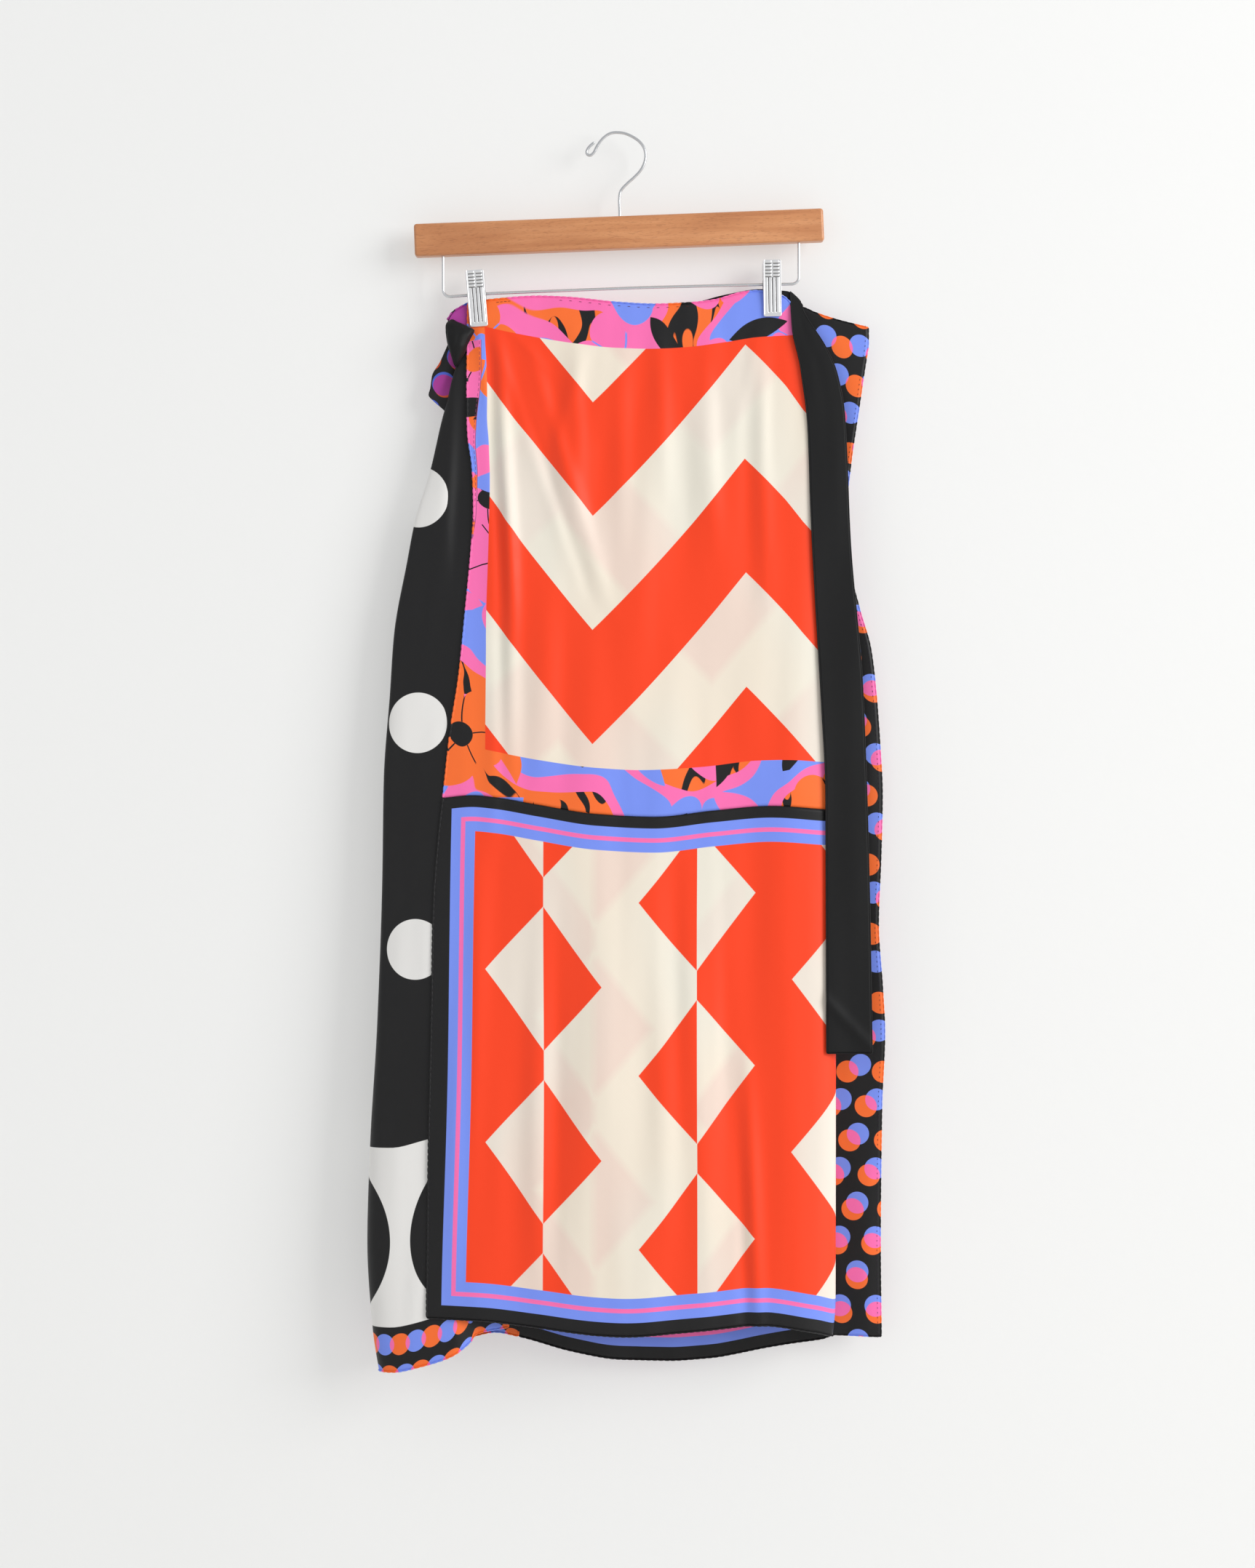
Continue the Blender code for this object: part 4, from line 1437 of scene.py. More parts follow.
@dataclass(frozen=True)
class Half:
    """One half of a wrapped sheet, from its plain edge to the fold that joins it to the other half.

    turn is how far the half swings along Y at the hem, over the x of turn_span. The creases and swells fade
    out over the x of fade.
    """

    layer: Span
    plain_edge: Table
    bottom: Table
    flutes: Sequence[Flute]
    creases: Sequence[Crease]
    uneven: float
    seed: int
    columns: int
    turn: float = 0.0
    turn_span: Span = (-140, -114)
    faced: bool = False
    fade: Span | None = None

    def folds(self, x: Numbers, drop: Numbers) -> Numbers:
        """Height of the flutes, creases and swells.

        Args:
            x: places across.
            drop: places down.

        Returns:
            The height at each place.
        """
        height = relief(self.flutes, self.creases, x, drop)
        height = height + unevenness(x, drop, self.seed, self.uneven) * smooth_step(drop, *SWELLS_BEGIN)
        if self.fade:
            plain = relief(self.flutes, (), x, drop)
            height = plain + (height - plain) * (1 - smooth_step(x, *self.fade))
        return height


class Maps(Enum):
    """What a wrapped sheet's UVs measure down the cloth."""

    UPPER = "upper"
    LOWER = "lower"
    SIDE = "side"


@dataclass(frozen=True)
class WrappedSheet:
    """A sheet that hangs from the waist or a seam and wraps round the skirt's fold, front and back in one.

    The fold is two elliptical quarter rounds. Their bulge is half the distance between the layers, and their
    length grows with its square, up to the widest fold.
    """

    name: str
    slot: str
    nodes: tuple[str, ...]
    pattern: Pattern
    maps: Maps
    first: Half
    second: Half
    fold: Table
    to_right: bool
    top: Table
    rows: Span
    row_count: int
    flat: Span
    area: float
    rests_on: tuple[str, ...]
    lap_top: float = 0.0
    lap_top_ends: Span = (4, 9)
    lap_bottom: float = 0.0
    lap_bottom_ends: Span = (4, 10)
    facing_lift: float = 0.45
    facing_step: Span = (-0.6, 0.8)
    facing_far: float = 500.0
    fold_columns: int = 15

    def half(self, half: Half, other: Half) -> Numbers:
        """Grid of points on the middle of one half, from the fold to its plain edge.

        Args:
            half: the half to work out.
            other: the one it folds over to.

        Returns:
            Points, as rows x columns x 3.
        """
        share = shares(self.row_count, rows=True)
        row = self.rows[0] + (self.rows[1] - self.rows[0]) * share
        fold_x, plain_x = read_curve(self.fold, row), read_curve(half.plain_edge, row)
        bulge = abs(layer_depth(half.layer, row) - layer_depth(other.layer, row)) / 2
        length = np.minimum(np.maximum(bulge**2 / TIGHTEST_BEND, bulge), WIDEST_FOLD)
        length = length if self.to_right else -length
        angle = np.linspace(0, math.pi / 2, self.fold_columns)[None, :]
        along = np.concatenate([
            np.linspace(0, 1 - EDGE_SHARE, half.columns - EDGE_COLUMNS + 1)[1:],
            np.linspace(1 - EDGE_SHARE, 1, EDGE_COLUMNS + 1)[1:],
        ])[None, :]
        flat_start = fold_x - length
        rounded, level = fold_x + length * (np.cos(angle) - 1), flat_start + (plain_x - flat_start) * along
        x = np.concatenate([rounded, level], axis=1)
        drop = between(self.top, half.bottom, x, share)
        own, across = layer_depth(half.layer, drop), layer_depth(other.layer, drop)
        out = np.sign(half.layer[1]) * np.concatenate([np.sin(angle), np.ones_like(along)], axis=1)
        y = (own + across) / 2 + out * (abs(own - across) / 2 + half.folds(x, drop))
        y = y + half.turn * opening(drop) ** 3 * smooth_step(x, *half.turn_span)
        lift = self.lap_lift(x, drop, half)
        if half.faced:
            inside = read_curve(FACING_WIDTH, drop) - abs(x - plain_x)
            faced = smooth_step(inside, *self.facing_step) * smooth_step(drop, *FACING_BEGINS)
            lift = lift + self.facing_lift * faced
        return np.stack([x, y + np.sign(half.layer[1]) * lift, -drop], axis=-1)

    def lap_lift(self, x: Numbers, drop: Numbers, half: Half) -> Numbers:
        """How far a half stands out of its layer along its top edge, less its sink along the bottom.

        Args:
            x: places across.
            drop: places down.
            half: the half that they are on.

        Returns:
            The lift at each place.
        """
        below_top = drop - read_curve(self.top, x)
        above_bottom = read_curve(half.bottom, x) - drop
        out = self.lap_top * (1 - smooth_step(below_top, *self.lap_top_ends))
        return out - self.lap_bottom * (1 - smooth_step(above_bottom, *self.lap_bottom_ends))

    def grid(self) -> Numbers:
        """The whole sheet: the first half from its plain edge to the fold, then the second half."""
        first, second = self.half(self.first, self.second), self.half(self.second, self.first)
        return np.concatenate([first[:, ::-1], second[:, 1:]], axis=1)

    def measures(self, points: Numbers) -> tuple[Numbers, Numbers]:
        """The two UV maps: the place on the print, and two distances to edges.

        The first distance is up from the hem, or on the upper scarf from the facing's inner side. The second
        is down from the top edge.

        Args:
            points: the sheet's grid.

        Returns:
            The maps print and edge, in millimetres.
        """
        x, drop = points[..., 0], -points[..., 2]
        count = self.first.columns + self.fold_columns
        across = arc_length(points)
        anchor = int(np.argmin(abs(x[self.row_count // 2, :count]))) if self.to_right else count - 1
        across = across - across[:, anchor : anchor + 1] + x[:, anchor : anchor + 1]
        if self.maps is Maps.UPPER:
            distance = x - read_curve(self.first.plain_edge, drop) - read_curve(FACING_WIDTH, drop)
            distance[:, count:] = self.facing_far
        else:
            hems = (read_curve(self.first.bottom, x[:, :count]), read_curve(self.second.bottom, x[:, count:]))
            distance = np.concatenate(hems, axis=1) - drop
        prints = np.stack([across, self.down_print(x, drop)], axis=-1)
        return prints, np.stack([distance, drop - read_curve(self.top, x)], axis=-1)

    def down_print(self, x: Numbers, drop: Numbers) -> Numbers:
        """Distance down the print. The middle of the upper one is stretched between its two edges.

        Args:
            x: places across.
            drop: places down.

        Returns:
            The distance at each place.
        """
        if self.maps is Maps.SIDE:
            return drop
        if self.maps is Maps.LOWER:
            return drop - read_curve(self.top, x)
        start, end = read_curve(PRINT_TOP, x), read_curve(PRINT_BOTTOM, x)
        share = np.clip((drop - start) / (end - start), 0, 1)
        return np.minimum(drop - start, 0) + share * PRINT_HEIGHT + np.maximum(drop - end, 0)

    def build(self) -> None:
        points = self.grid()
        maps = self.measures(points)
        finish = SilkFinish().dress(self.name, self.pattern)
        parts = MeshParts().add_grid(points, *maps)
        made = parts.make(self.name, finish, self.slot, *self.nodes, sheet=True)
        border = np.concatenate([points, *maps], axis=-1)
        edges = [(border[:, 0], Rolled.DOWN)]
        if self.maps is not Maps.UPPER:
            edges.append((border[-1], Rolled.ACROSS))
        if self.maps is not Maps.LOWER:
            edges.append((border[0], Rolled.ACROSS))
        hem = RolledHem().roll(*edges).make(f"{self.name}_hem", finish, self.slot)


def skirt_sheets() -> list[WrappedSheet]:
    """The three wrapped sheets of the skirt, with the sizes they share.

    Returns:
        The upper, the lower and the side scarf.
    """
    front = dict(layer=OUTER_FRONT, plain_edge=FRONT_FREE_EDGE, flutes=FRONT_FLUTES, creases=FRONT_CREASES,
                 uneven=0.42, seed=4, columns=122, faced=True, fade=(138, 156))
    back = dict(layer=BACK, plain_edge=BACK_SEAM, flutes=BACK_FLUTES, creases=BACK_CREASES, uneven=0.5,
                seed=9, columns=80)
    return [
        WrappedSheet(
            name="upper_scarf", slot="upper_print", nodes=("upper_scarf_front", "upper_scarf_back"),
            pattern=ZigzagPrint(), maps=Maps.UPPER, first=Half(**front, bottom=PANEL_SEAM),
            second=Half(**back, bottom=PANEL_SEAM), fold=RIGHT_FOLD, to_right=True, top=WAIST_EDGE,
            rows=(147.0, 586.0), row_count=150, flat=(0.62, 0.45), area=0.258, lap_bottom=0.25,
            rests_on=("left_clip_front_jaw", "right_clip_front_jaw"),
        ),
        WrappedSheet(
            name="lower_scarf", slot="lower_print", nodes=("lower_scarf_front", "lower_scarf_back"),
            pattern=LozengePrint(), maps=Maps.LOWER, first=Half(**front, bottom=FRONT_HEM),
            second=Half(**back, bottom=BACK_HEM), fold=RIGHT_FOLD, to_right=True, top=PANEL_SEAM,
            rows=(586.0, 1042.0), row_count=155, flat=(0.64, 0.48), area=0.292, lap_top=0.3,
            rests_on=("upper_scarf",),
        ),
        WrappedSheet(
            name="side_scarf", slot="side_print", nodes=("side_scarf_front", "side_scarf_back"),
            pattern=SidePrint(), maps=Maps.SIDE,
            first=Half(layer=BACK, plain_edge=SIDE_BACK_SEAM, bottom=BACK_HEM, flutes=BACK_FLUTES,
                       creases=(), uneven=0.4, seed=9, columns=46),
            second=Half(layer=UNDER_FRONT, plain_edge=UNDER_INNER_EDGE, bottom=SIDE_HEM, flutes=FRONT_FLUTES,
                        creases=SIDE_CREASES, uneven=0.25, seed=21, columns=46, turn=11.0, fade=(-150, -128)),
            fold=LEFT_FOLD, to_right=False, top=WAIST_EDGE, rows=(150.0, 1070.0), row_count=310,
            flat=(0.24, 0.92), area=0.185, rests_on=("left_clip_front_jaw",),
        ),
    ]


@dataclass(frozen=True)
class DottedFlap:
    """The dotted scarf's free end, which hangs behind the right side in even waves.

    Its swells begin over two spans, of the drop and of x. Its print is skewed from the top down to skew_ends.
    """

    wave: float = 2.0
    wave_length: float = 74.0
    uneven: float = 0.4
    seed: int = 13
    swells_begin: tuple[Span, Span] = ((170, 300), (150, 190))
    top_skew: float = 0.28
    skew_from: float = 187.0
    skew_ends: Span = (230, 400)
    rows: Span = (150.0, 1050.0)
    row_count: int = 300
    columns: int = 46

    def grid(self) -> Numbers:
        """Points between the two side edges. Its depth is the layer's, plus a sine wave across.

        Returns:
            Points, as rows x columns x 3.
        """
        share = shares(self.row_count, rows=True)
        row = self.rows[0] + (self.rows[1] - self.rows[0]) * share
        x = between(FLAP_LEFT_EDGE, FLAP_RIGHT_EDGE, row, shares(self.columns))
        drop = between(FLAP_TOP, FLAP_HEM, x, share)
        sway = np.sin(2 * math.pi * (x - FLAP_LEFT_EDGE[0][1]) / self.wave_length)
        y = layer_depth(FLAP_LAYER, drop) + self.wave * opening(drop) * sway
        by_drop, by_x = self.swells_begin
        swells = unevenness(x, drop, self.seed, self.uneven)
        y = y + swells * smooth_step(drop, *by_drop) * smooth_step(x, *by_x)
        return np.stack([x, y, -drop], axis=-1)

    def build(self) -> None:
        """Makes the flap, the rolled hem on three sides, and its stitches."""
        points = self.grid()
        x, drop = points[..., 0], -points[..., 2]
        skew = self.top_skew * (x - self.skew_from) * (1 - smooth_step(drop, *self.skew_ends))
        prints = np.stack([x - read_curve(FLAP_RIGHT_EDGE, drop), drop - skew], axis=-1)
        finish = SilkFinish().dress("dotted_flap", TwoDotPrint())
        parts = MeshParts().add_grid(points, prints)
        made = parts.make("dotted_flap_cloth", finish, "dotted_print", "dotted_flap", sheet=True)
        border = np.concatenate([points, prints], axis=-1)
        edges = ((border[:, -1], Rolled.DOWN), (border[0], Rolled.ACROSS), (border[-1], Rolled.ACROSS))
        hem = RolledHem(radius=0.6).roll(*edges).make("dotted_flap_hem", finish, "dotted_print")
        threads = MeshParts()
        StitchLine(length=1.5).add_to(threads, points[:, -2])
        thread = ThreadFinish("2A1A3A").dress("flap_thread")
        sewn = threads.make("dotted_flap_stitches", thread, "dotted_print")


@dataclass(frozen=True)
class Sash:
    """The black sash: a band behind the front's waist, which folds over at its end and falls in front.

    A gather is its place across, its width and its height. The gathers come in over one span of the drop and
    mostly fade over another. A diagonal crease crosses the fall near its end.
    """

    top: float = 142.0
    end: float = 798.0
    rows: int = 250
    columns: int = 20
    gathers: tuple[tuple[float, float, float], ...] = ((0.30, 0.22, 0.35), (0.72, 0.20, 0.3))
    gathers_begin: Span = (145, 190)
    gathers_fade: Span = (230, 480)
    faded: float = 0.82
    crease_place: Span = (184, 754)
    crease_slope: float = 1.05
    crease_width: float = 7.0
    crease_height: float = 1.6
    crease_begins: Span = (700, 760)
    uneven: float = 0.25
    seed: int = 31
    swells_begin: Span = (200, 300)
    band_depth: float = 0.0
    band_span: Span = (66, 163)
    turn_radius: float = 0.9
    lap: float = 7.0
    edge_spacing: float = 1.5

    def fall(self) -> Numbers:
        """The falling strip. Gathers are bells across it that fade down it, and a crease crosses its end.

        Returns:
            Points, as rows x columns x 3.
        """
        share, across = shares(self.rows, rows=True), shares(self.columns)
        x = between(TIE_LEFT_EDGE, TIE_RIGHT_EDGE, self.top + (self.end - self.top) * share, across)
        top = read_curve(BAND_TOP, x)
        drop = top + (self.end - top) * share
        y = read_curve(TIE_DEPTH, drop)
        fade = 1 - self.faded * smooth_step(drop, *self.gathers_fade)
        fade = fade * smooth_step(drop, *self.gathers_begin)
        for centre, width, height in self.gathers:
            y = y - height * fade * np.exp(-(((across - centre) / width) ** 2))
        crease_x, crease_drop = self.crease_place
        off_crease = (drop - crease_drop - self.crease_slope * (x - crease_x)) / self.crease_width
        y = y - self.crease_height * np.exp(-(off_crease**2)) * smooth_step(drop, *self.crease_begins)
        y = y - unevenness(x, drop, self.seed, self.uneven) * smooth_step(drop, *self.swells_begin)
        return np.stack([x, y, -drop], axis=-1)

    def over(self, first_row: Numbers) -> Numbers:
        """The turn over the sash's top edge: half a round from the band's depth to the fall's, and a lap.

        Args:
            first_row: the fall's top row of points.

        Returns:
            Points, as rows x columns x 3.
        """
        angle = np.linspace(0, math.pi, 9)[:, None]
        x, front, z = (first_row[None, :, i] for i in range(3))
        middle = (self.band_depth + front) / 2
        y = middle + (self.band_depth - middle) * np.cos(angle)
        turn = np.stack([x + 0 * y, y, z + self.turn_radius * np.sin(angle)], axis=-1)
        lap = np.stack([x, np.full_like(x, self.band_depth), z - self.lap], axis=-1)
        return np.concatenate([lap, turn[:-1]])

    def band(self) -> Numbers:
        """The flat band behind the waist.

        Returns:
            Points, as rows x columns x 3.
        """
        x = np.linspace(*self.band_span, 50)[None, :]
        drop = between(BAND_TOP, BAND_END, x, shares(8, rows=True))
        return np.stack([x + 0 * drop, np.full_like(drop, self.band_depth), -drop], axis=-1)

    def build(self) -> None:
        """Makes the sash as one piece with folded edges along both sides and a hem at its end."""
        fall, band = self.fall(), self.band()
        finish = BLACK_SILK.dress("sash", PlainBlack())
        parts = MeshParts().add_grid(np.concatenate([self.over(fall[0]), fall])).add_grid(band)
        made = parts.make("sash_cloth", finish, "black_sash", "tie_band", "tie_fall", sheet=True)
        edges = MeshParts()
        for line, way in ((fall[:, 0], Rolled.DOWN), (fall[:, -1], Rolled.DOWN), (fall[-1], Rolled.ACROSS)):
            Tube(0.55, 0.45, 8, way.value).add_to(edges, resample(line, self.edge_spacing))
        Tube(0.5, 0.4, 8, Rolled.ACROSS.value).add_to(edges, resample(band[0], self.edge_spacing))
        hem = edges.make("sash_edges", finish, "black_sash")


@dataclass(frozen=True)
class HipKnot:
    """The knot at the hip: a gathered bunch of black cloth, and its tail behind the side.

    A section of the bunch is its drop, the x of its middle, its half width and its half thickness. The
    bunch's folds twist from twist_from down. The tail has small pleats, which lean across it.
    """

    sections: Sequence[tuple[float, float, float, float]] = (
        (161.6, -141.8, 1.2, 0.6), (163.4, -141.5, 3.8, 1.8), (166.8, -138.8, 8.4, 3.6),
        (172, -134.6, 12.6, 5), (178, -135.7, 10.9, 6), (185, -136.8, 8.6, 6), (191, -137, 6.6, 5),
        (197, -137.8, 3.8, 3.5), (201, -138.4, 1.9, 1.8), (202.6, -138.7, 0.6, 0.6),
    )
    back: float = -2.0
    rings: int = 90
    sides: int = 96
    twist: float = 0.045
    twist_from: float = 160.0
    tail_span: Span = (180, 241)
    tail_left: Table = ((180, -145), (197, -153), (209, -160), (220, -161.5), (226, -163), (231, -159),
                        (238, -151), (241, -148))
    tail_right: Table = ((180, -137), (241, -136))
    tail_clear: float = 1.7
    tail_bulge: float = 2.5
    pleat_height: float = 0.5
    pleat_lean: float = 0.6
    pleat_size: float = 3.1

    def bunch(self) -> Numbers:
        """Rings round the knot. Each radius dips along folds that twist as they go down.

        Returns:
            Rings, as rings x sides x 3.
        """
        table = np.array(self.sections)
        place = np.linspace(0, len(table) - 1, self.rings)
        drop = np.interp(place, np.arange(len(table)), table[:, 0])[:, None]
        middle, half_x, half_y = (read_curve(table[:, (0, i)], drop) for i in (1, 2, 3))
        turn = np.linspace(0, 2 * math.pi, self.sides, endpoint=False)[None, :]
        twist = (drop - self.twist_from) * self.twist
        large, small = np.abs(np.sin(2.5 * turn + twist)) ** 0.6, np.abs(np.sin(5.0 * turn - 1.7 * twist))
        swell = 0.93 + 0.06 * large + 0.02 * small
        x = middle + half_x * swell * np.cos(turn)
        y = self.back - half_y + half_y * swell * np.sin(turn)
        return np.stack([x, y, -drop + 0 * x], axis=-1)

    def tail(self) -> Numbers:
        """The tail's sheet. Its bulge behind the side scarf and its pleats follow a half sine down it.

        Returns:
            Points, as rows x columns x 3.
        """
        share = shares(44, rows=True)
        row = self.tail_span[0] + (self.tail_span[1] - self.tail_span[0]) * share
        x = between(self.tail_left, self.tail_right, row, shares(22))
        drop = row + 0 * x
        pleats = self.pleat_height * np.sin((x + drop * self.pleat_lean) / self.pleat_size)
        y = layer_depth(BACK, drop) + relief(BACK_FLUTES, (), x, drop) + self.tail_clear
        y = y + (self.tail_bulge + pleats) * np.sin(math.pi * share)
        return np.stack([x, y, -drop], axis=-1)

    def build(self) -> None:
        """Makes the bunch and the tail."""
        black = BLACK_SILK.dress("knot", PlainBlack())
        knot = MeshParts().add_rings(self.bunch()).make("knot_cloth", black, "black_sash", "hip_knot")
        points = self.tail()
        # The tail shows the reverse, whose dyes are partly painted shade.
        dotted = SilkFinish().dress("tail", TailPrint(), Face.REVERSE)
        parts = MeshParts().add_grid(points, points[..., (0, 2)] * np.array([1, -1]))
        tail = parts.make("tail_cloth", dotted, "dotted_print", "knot_tail", sheet=True)


@dataclass(frozen=True)
class WaistStitches:
    """Dark thread that shows along the waist, just under its edge."""

    drop_below: float = 1.6
    spans: tuple[Span, ...] = ((-104, -92), (-48, 64))

    def build(self, sheet: WrappedSheet) -> None:
        """Sews on the front of the upper scarf.

        Args:
            sheet: the upper scarf, whose own grid gives the stitches their depth.
        """
        grid = sheet.half(sheet.first, sheet.second)
        row_height = abs(grid[1, -1, 2] - grid[0, -1, 2])
        line = grid[max(round(self.drop_below / row_height), 1)]
        line = line[np.argsort(line[:, 0])]
        parts = MeshParts()
        for low, high in self.spans:
            keep = (line[:, 0] > low) & (line[:, 0] < high)
            StitchLine(pitch=7.4, length=2.4).add_to(parts, line[keep])
        parts.make("waist_stitches", ThreadFinish("5A1C12").dress("waist_thread"), "upper_print")


@dataclass(frozen=True)
class Hanger:
    """The wooden bar, its hook and the wire that the clips slide on.

    The hook is points of x and z. The clip wire is corners of x, z and bend radius.
    """

    bar_size: Point = (355.4, 13.0, 28.2)
    bar_centre: Span = (3.0, -86.3)
    tilt: float = math.radians(2.19)
    corner: float = 2.6
    least_corner: float = 0.25
    wire: float = 1.3
    hook: Table = (
        (3.8, -84), (3.7, -70), (3.3, -57), (4.6, -49.6), (9.6, -43.6), (16.6, -37.3), (22.2, -31),
        (25.4, -24), (26.1, -17.4), (24.4, -11.4), (20.4, -6.3), (14.6, -2.3), (7.6, 0.6), (0, 1.3),
        (-5.2, 0.2), (-9.6, -2.6), (-13.5, -6.8), (-16.5, -11.6), (-18.7, -15.9), (-21.5, -18.4),
        (-24.2, -18.0), (-25.1, -15.4), (-23.5, -12.0), (-20.8, -9.2), (-17.9, -7.0),
    )
    clip_wire: tuple[Point, ...] = (
        (-149.8, -98, 0), (-149.8, -141.8, 6), (-107, -138.5, 60), (20, -133.6, 300), (115, -131.1, 300),
        (159.3, -130.3, 6), (159.3, -86, 0),
    )

    def section(self, inset: float) -> Numbers:
        """The bar's rounded rectangle of y and z, drawn in by inset, with eight steps to each corner.

        Args:
            inset: how far it is drawn in.

        Returns:
            The outline's points of y and z.
        """
        radius = max(self.corner - inset, self.least_corner)
        middle = np.array([(1, 1), (-1, 1), (-1, -1), (1, -1)])[:, None, :]
        middle = middle * (np.array(self.bar_size[1:]) / 2 - inset - radius)
        turn = np.arange(4)[:, None] * math.pi / 2 + np.linspace(0, math.pi / 2, 9)
        return (middle + radius * np.stack([np.cos(turn), np.sin(turn)], axis=-1)).reshape(-1, 2)

    def bar(self) -> None:
        """The bar: its section carried along x, drawn in at both ends on a quarter round."""
        turn = np.linspace(0, math.pi / 2, 8)
        inset = self.corner * (1 - np.sin(turn))
        end_x = self.bar_size[0] / 2 - self.corner * (1 - np.cos(turn))
        places = zip((*-end_x, *end_x[::-1]), (*inset, *inset[::-1]))
        rings = np.stack([np.insert(self.section(drawn_in), 0, x, axis=1) for x, drawn_in in places])
        parts = MeshParts().add_rings(tilted(rings, self.tilt, *self.bar_centre))
        parts.make("bar", WoodFinish(self.tilt).dress("bar_wood"), "bar_wood", "hanger_bar", sharp=40)

    def wires(self) -> None:
        """The hook and the clip wire, round wire along their bent paths."""
        # The hook's darker tint is painted shade and the rail's lighter tint a painted reflection, for how
        # the light falls on upright and level wire.
        for name, path, node, tint in (
            ("hook", smooth_path(self.hook, 14), "hook_wire", "D3D4D6"),
            ("clip_rail", bent_path(self.clip_wire, 14), "clip_wire", "DFE0E2"),
        ):
            parts = MeshParts()
            line = np.insert(path, 1, 0.0, axis=1)
            Tube(self.wire, self.wire, 20, (0, 1, 0)).add_to(parts, resample(line, 0.8))
            chrome = ChromeFinish(tint, "B4B5B8", 0.2, 0.8).dress(f"{name}_chrome")
            parts.make(name, chrome, "hanger_chrome", node)


@dataclass(frozen=True)
class PressedForm:
    """The form pressed into a jaw's outside, by the place across it and the height above the wire.

    The top has five rows of two oval bumps. Below them four round flutes run down to a plain lip, and a rim
    runs round them all. The half widths of a bump are across it and as a share of a row, and that of a flute
    is a share of its pitch.
    """

    bump_rows: int = 5
    bump_from: float = 5.6
    bump_pitch: float = 2.8
    bump_x: float = 3.35
    bump_half: Span = (2.9, 0.44)
    bump_height: float = 0.5
    flutes: int = 4
    flute_from: float = -6.5
    flute_pitch: float = 3.25
    flute_half: float = 0.46
    flute_height: float = 0.45
    flute_span: Span = (-25.2, 5.2)
    flute_end: float = 1.3
    rim: Span = (6.5, 7.1)
    rim_height: float = 0.5
    lip: Span = (-26.9, -26.2)
    lip_height: float = 0.45

    def relief(self, across: Numbers, up: Numbers) -> Numbers:
        """Height of the form at each place.

        Args:
            across: places across the jaw.
            up: heights above the wire.

        Returns:
            The height of the form at each place.
        """
        row = (up - self.bump_from) / self.bump_pitch
        bump_u = (np.abs(across) - self.bump_x) / self.bump_half[0]
        bump_v = (row - np.floor(row) - 0.5) / self.bump_half[1]
        in_rows = (row > 0) & (row < self.bump_rows)
        bumps = self.bump_height * in_rows * np.sqrt(np.clip(1 - bump_u**4 - bump_v**2, 0, 1))
        flute = (across - self.flute_from) / self.flute_pitch
        in_flutes = (flute > 0) & (flute < self.flutes)
        to_end = np.minimum(self.flute_span[1] - up, up - self.flute_span[0]) / self.flute_end
        hollow = round_over((flute - np.floor(flute) - 0.5) / self.flute_half)
        flutes = self.flute_height * in_flutes * hollow * round_over(1 - np.clip(to_end, 0, 1))
        rim = self.rim_height * smooth_step(np.abs(across), *self.rim)
        lip = self.lip_height * (1 - smooth_step(up, *self.lip))
        return np.maximum.reduce([bumps, flutes, rim, lip])


class Side(Enum):
    """The two jaws of a clip: its sign along y, and how far out its ears sit from the clip's middle."""

    FRONT = (-1, 8.0)
    BACK = (1, 6.8)


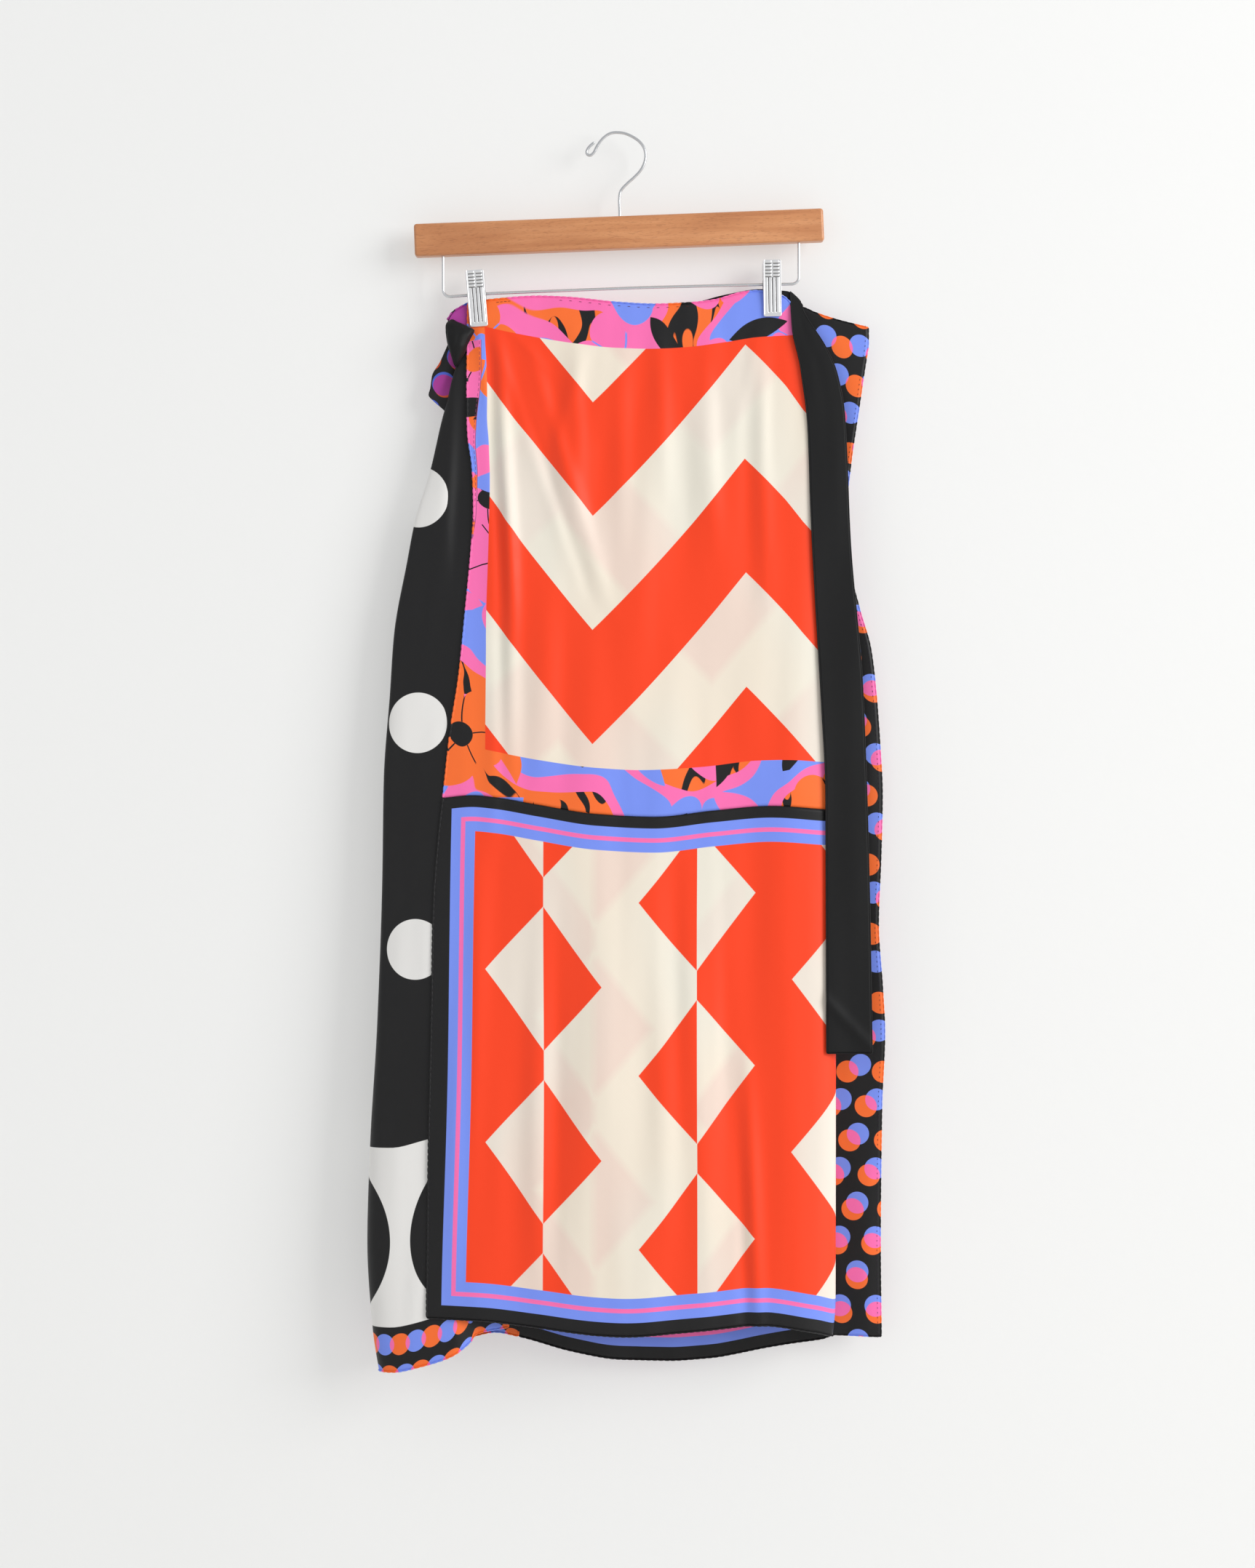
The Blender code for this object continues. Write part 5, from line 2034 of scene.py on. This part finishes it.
@dataclass(frozen=True)
class Clip:
    """One clip: two pressed jaws round the wire, and the spring between their ears.

    lever and outer are rows of the height above the wire and the distance from the clip's middle plane, for
    a jaw's inner face and its outer one. front and back are how far the cloth holds each jaw's grip from that
    plane.
    """

    name: str
    x: float
    z: float
    lean: float
    front: float
    back: float
    width: float = 16.0
    lever: Table = ((-9.0, 4.0), (0.0, 4.3), (9.0, 5.8), (20.0, 8.0))
    outer: Table = ((-28.4, 3.45), (-18.0, 3.7), (-9.0, 4.55), (0.0, 5.1), (9.0, 6.5), (20.0, 8.5))
    outer_face: float = 2.25
    top: float = 20.0
    grip: Span = (-18.0, -27.0)
    lip: float = -28.4
    lip_flare: float = 0.7
    gap: float = 0.3
    corner: float = 1.6
    edge: float = 0.8
    least: float = 0.25
    ear_thick: float = 0.9
    ear_round: Span = (2.2, 3.2)
    ear_past: float = 0.2
    ear_reach: float = 4.6
    turns: int = 7
    coil_half: float = 3.1
    coil_radius: float = 2.4
    coil_wire: float = 0.42

    def to_world(self, points: Numbers) -> Numbers:
        """Turns points from the clip's own place on the wire into the row's frame."""
        return tilted(points, self.lean, self.x, self.z)

    def jaw(self, side: Side, chrome: Material) -> None:
        """A closed pressed sheet: its outer face has the pressed form, and its edges are rounded.

        Args:
            side: the front or the back jaw.
            chrome: its finish.
        """
        sign, ear_x = side.value
        face = self.front if side is Side.FRONT else self.back
        grip = ((z, face + self.gap) for z in self.grip)
        profile = sorted([*self.lever, *grip, (self.lip, face + self.gap + self.lip_flare)])
        height = np.linspace(self.top, self.lip, 190)[:, None]
        to_end = np.minimum(self.top - height, height - self.lip)
        half = self.width / 2 - self.corner * (1 - round_over(np.clip(1 - to_end / self.corner, 0, 1)))
        x = half * np.linspace(-1, 1, 81)[None, :]
        z = height + 0 * x
        inner = read_curve(profile, z)
        shell = read_curve(self.outer, z) + face - self.outer_face
        near = np.clip(1 - np.minimum(half - np.abs(x), to_end) / self.edge, 0, 1)
        raised = shell - inner - self.least + PressedForm().relief(x, z)
        outer = inner + self.least + raised * round_over(near)
        skins = np.stack([self.to_world(np.stack([x, sign * y, z], axis=-1)) for y in (outer, inner)])
        index = np.arange(x.size).reshape(x.shape)
        rim = np.concatenate([index[0], index[1:, -1], index[-1, -2::-1], index[-2:0:-1, 0]])
        following = np.roll(rim, -1)
        faces = grid_faces(*x.shape)
        walls = np.stack([rim, following, following + x.size, rim + x.size], axis=-1)
        flat = np.stack([x, z], axis=-1)
        parts = MeshParts().add(skins, [faces, faces[:, ::-1] + x.size, walls], np.stack([flat, flat]))
        for end_x in (-ear_x, ear_x):
            self.ear(parts, end_x, sign)
        name = f"{self.name}_{side.name.lower()}"
        parts.make(name, chrome, "hanger_chrome", f"{name}_jaw", sharp=60)

    def ear(self, parts: MeshParts, end_x: float, sign: int) -> None:
        """One ear: a plate with a round end that reaches from the jaw past the wire.

        Args:
            parts: the jaw's parts.
            end_x: x of the plate's outer face.
            sign: the jaw's side, along y.
        """
        turn = np.linspace(-math.pi / 2, math.pi / 2, 17)
        depth, height = self.ear_round
        outline = np.concatenate([
            np.stack([-sign * (self.ear_past + depth * np.cos(turn)), height * np.sin(turn)], axis=-1),
            np.array([[sign * self.ear_reach, height], [sign * self.ear_reach, -height]]),
        ])
        ends = sorted((end_x, end_x - math.copysign(self.ear_thick, end_x)))
        parts.add_rings(self.to_world(np.stack([np.insert(outline, 0, x, axis=1) for x in ends])))

    def spring(self, chrome: Material) -> None:
        """A coil between the ears: a point that circles the wire and moves evenly along it.

        Args:
            chrome: its finish.
        """
        turn = np.linspace(0, self.turns * 2 * math.pi, self.turns * 28)
        along = np.linspace(-self.coil_half, self.coil_half, turn.size)
        coil = np.stack([along, self.coil_radius * np.cos(turn), self.coil_radius * np.sin(turn)], axis=-1)
        parts = MeshParts()
        Tube(self.coil_wire, self.coil_wire, 8, (1, 0, 0)).add_to(parts, self.to_world(coil))
        parts.make(f"{self.name}_coil", chrome, "hanger_chrome", f"{self.name}_spring")

    def build(self, pressed: Material, chrome: Material) -> None:
        """Makes both jaws and the spring.

        Args:
            pressed: the jaws' finish.
            chrome: the spring's finish.
        """
        for side in Side:
            self.jaw(side, pressed)
        self.spring(chrome)


@dataclass(frozen=True)
class Studio:
    """A white wall close behind the skirt, a pale floor, a large soft light from the right, and the camera.

    The wall shows its front alone and casts no shadow, so that the back of the skirt can be seen and is lit.
    """

    wall_y: float = 0.0185
    wall_lean: float = 0.030
    wall_half: float = 2.6
    wall_top: float = 1.6
    wall_glow: float = 0.36
    floor_half: float = 4.0
    floor_z: float = -1.75
    aim: Point = (0.0, 0.0, -0.55)
    camera: Point = (0.0104, -2.4, -0.565)
    frame_height: float = 1.363
    room: Colour = (0.97, 0.985, 1.0, 1.0)
    room_strength: float = 0.56

    def plane(self, name: str, corners: Sequence[Point], tint: str, glow: float,
              one_sided: bool) -> bpy.types.Object:
        """A staged plane with a faint plaster grain, which glows a little to keep its shadows soft.

        Args:
            name: its name.
            corners: its four corners in metres.
            tint: its colour as RRGGBB.
            glow: the strength of its glow.
            one_sided: shows its front alone.

        Returns:
            The plane's object.
        """
        mesh = bpy.data.meshes.new(name)
        mesh.from_pydata(corners, [], [tuple(range(4))])
        graph = Graph(name)
        grain = graph.noise(graph.object_place(), 90.0, 3.0)
        shader = graph.node("ShaderNodeBsdfPrincipled", inputs={
            "Base Color": dye(tint), "Roughness": 0.9, "Normal": graph.bump(grain, 0.0004, 0.25),
            "Emission Color": (1.0, 1.0, 0.985, 1.0), "Emission Strength": glow,
        })
        surface = shader.outputs[0]
        if one_sided:
            clear = graph.node("ShaderNodeBsdfTransparent").outputs[0]
            back = graph.node("ShaderNodeNewGeometry").outputs["Backfacing"]
            surface = graph.node("ShaderNodeMixShader", inputs={0: back, 1: surface, 2: clear}).outputs[0]
        graph.node("ShaderNodeOutputMaterial", inputs={"Surface": surface})
        mesh.materials.append(graph.material)
        made = linked(name, mesh)
        return made

    def light(self, name: str, at: Point, size: float, power: float) -> None:
        """A square soft light that points at the skirt's middle.

        Args:
            name: its name.
            at: its place in metres.
            size: its width in metres.
            power: its power in watts.
        """
        data = bpy.data.lights.new(name, "AREA")
        data.size = size
        data.energy = power
        made = linked(name, data)
        made.location = at
        made.rotation_euler = (Vector(self.aim) - Vector(at)).to_track_quat("-Z", "Y").to_euler()
        made.visible_camera = False

    def build(self) -> None:
        """Makes the stage, the lights and the camera."""
        low, wide, far = self.floor_z, self.wall_half, self.floor_half
        sides = ((-wide, low), (wide, low), (wide, self.wall_top), (-wide, self.wall_top))
        corners = [(x, self.wall_y - self.wall_lean * up, up) for x, up in sides]
        self.plane("wall", corners, "C4C4C3", self.wall_glow, True).visible_shadow = False
        corners = [(-far, -far, low), (far, -far, low), (far, far, low), (-far, far, low)]
        self.plane("floor", corners, "DEDDDA", 0.0, False)
        self.light("window", (3.3, -2.3, 0.7), 2.3, 114)
        self.light("fill", (-1.9, -2.4, -0.3), 2.2, 5)
        self.light("behind", (-0.9, 2.3, 0.5), 2.0, 4)
        scene = bpy.context.scene
        scene.view_settings.view_transform = "Standard"
        scene.world = bpy.data.worlds.new("room")
        scene.world.use_nodes = True
        background = scene.world.node_tree.nodes["Background"]
        background.inputs[0].default_value = self.room
        background.inputs[1].default_value = self.room_strength
        data = bpy.data.cameras.new("camera")
        data.lens = data.sensor_width * -self.camera[1] / self.frame_height
        scene.camera = linked("camera", data)
        scene.camera.location = self.camera
        scene.camera.rotation_euler = (math.pi / 2, 0, 0)


def main() -> None:
    """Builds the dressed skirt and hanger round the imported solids."""
    logging.basicConfig(level=logging.INFO, format="%(message)s")
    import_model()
    Studio().build()
    sheets = skirt_sheets()
    for sheet in sheets:
        sheet.build()
    WaistStitches().build(sheets[0])
    DottedFlap().build()
    Sash().build()
    HipKnot().build()
    hanger = Hanger()
    hanger.bar()
    hanger.wires()
    chrome = ChromeFinish(gloss=0.15).dress("hanger_chrome")
    # The jaws' finish paints shade into their grooves and between their bumps.
    pressed = ChromeFinish(gloss=0.30, metal=0.65, grooves=(-0.00325, 0.0, 0.00325)).dress("clip_chrome")
    Clip("left_clip", -120.7, -139.56, math.radians(4.4), 2.25, 2.25).build(pressed, chrome)
    Clip("right_clip", 135.9, -130.72, math.radians(1.0), 2.25, 3.85).build(pressed, chrome)


if __name__ == "__main__":
    main()
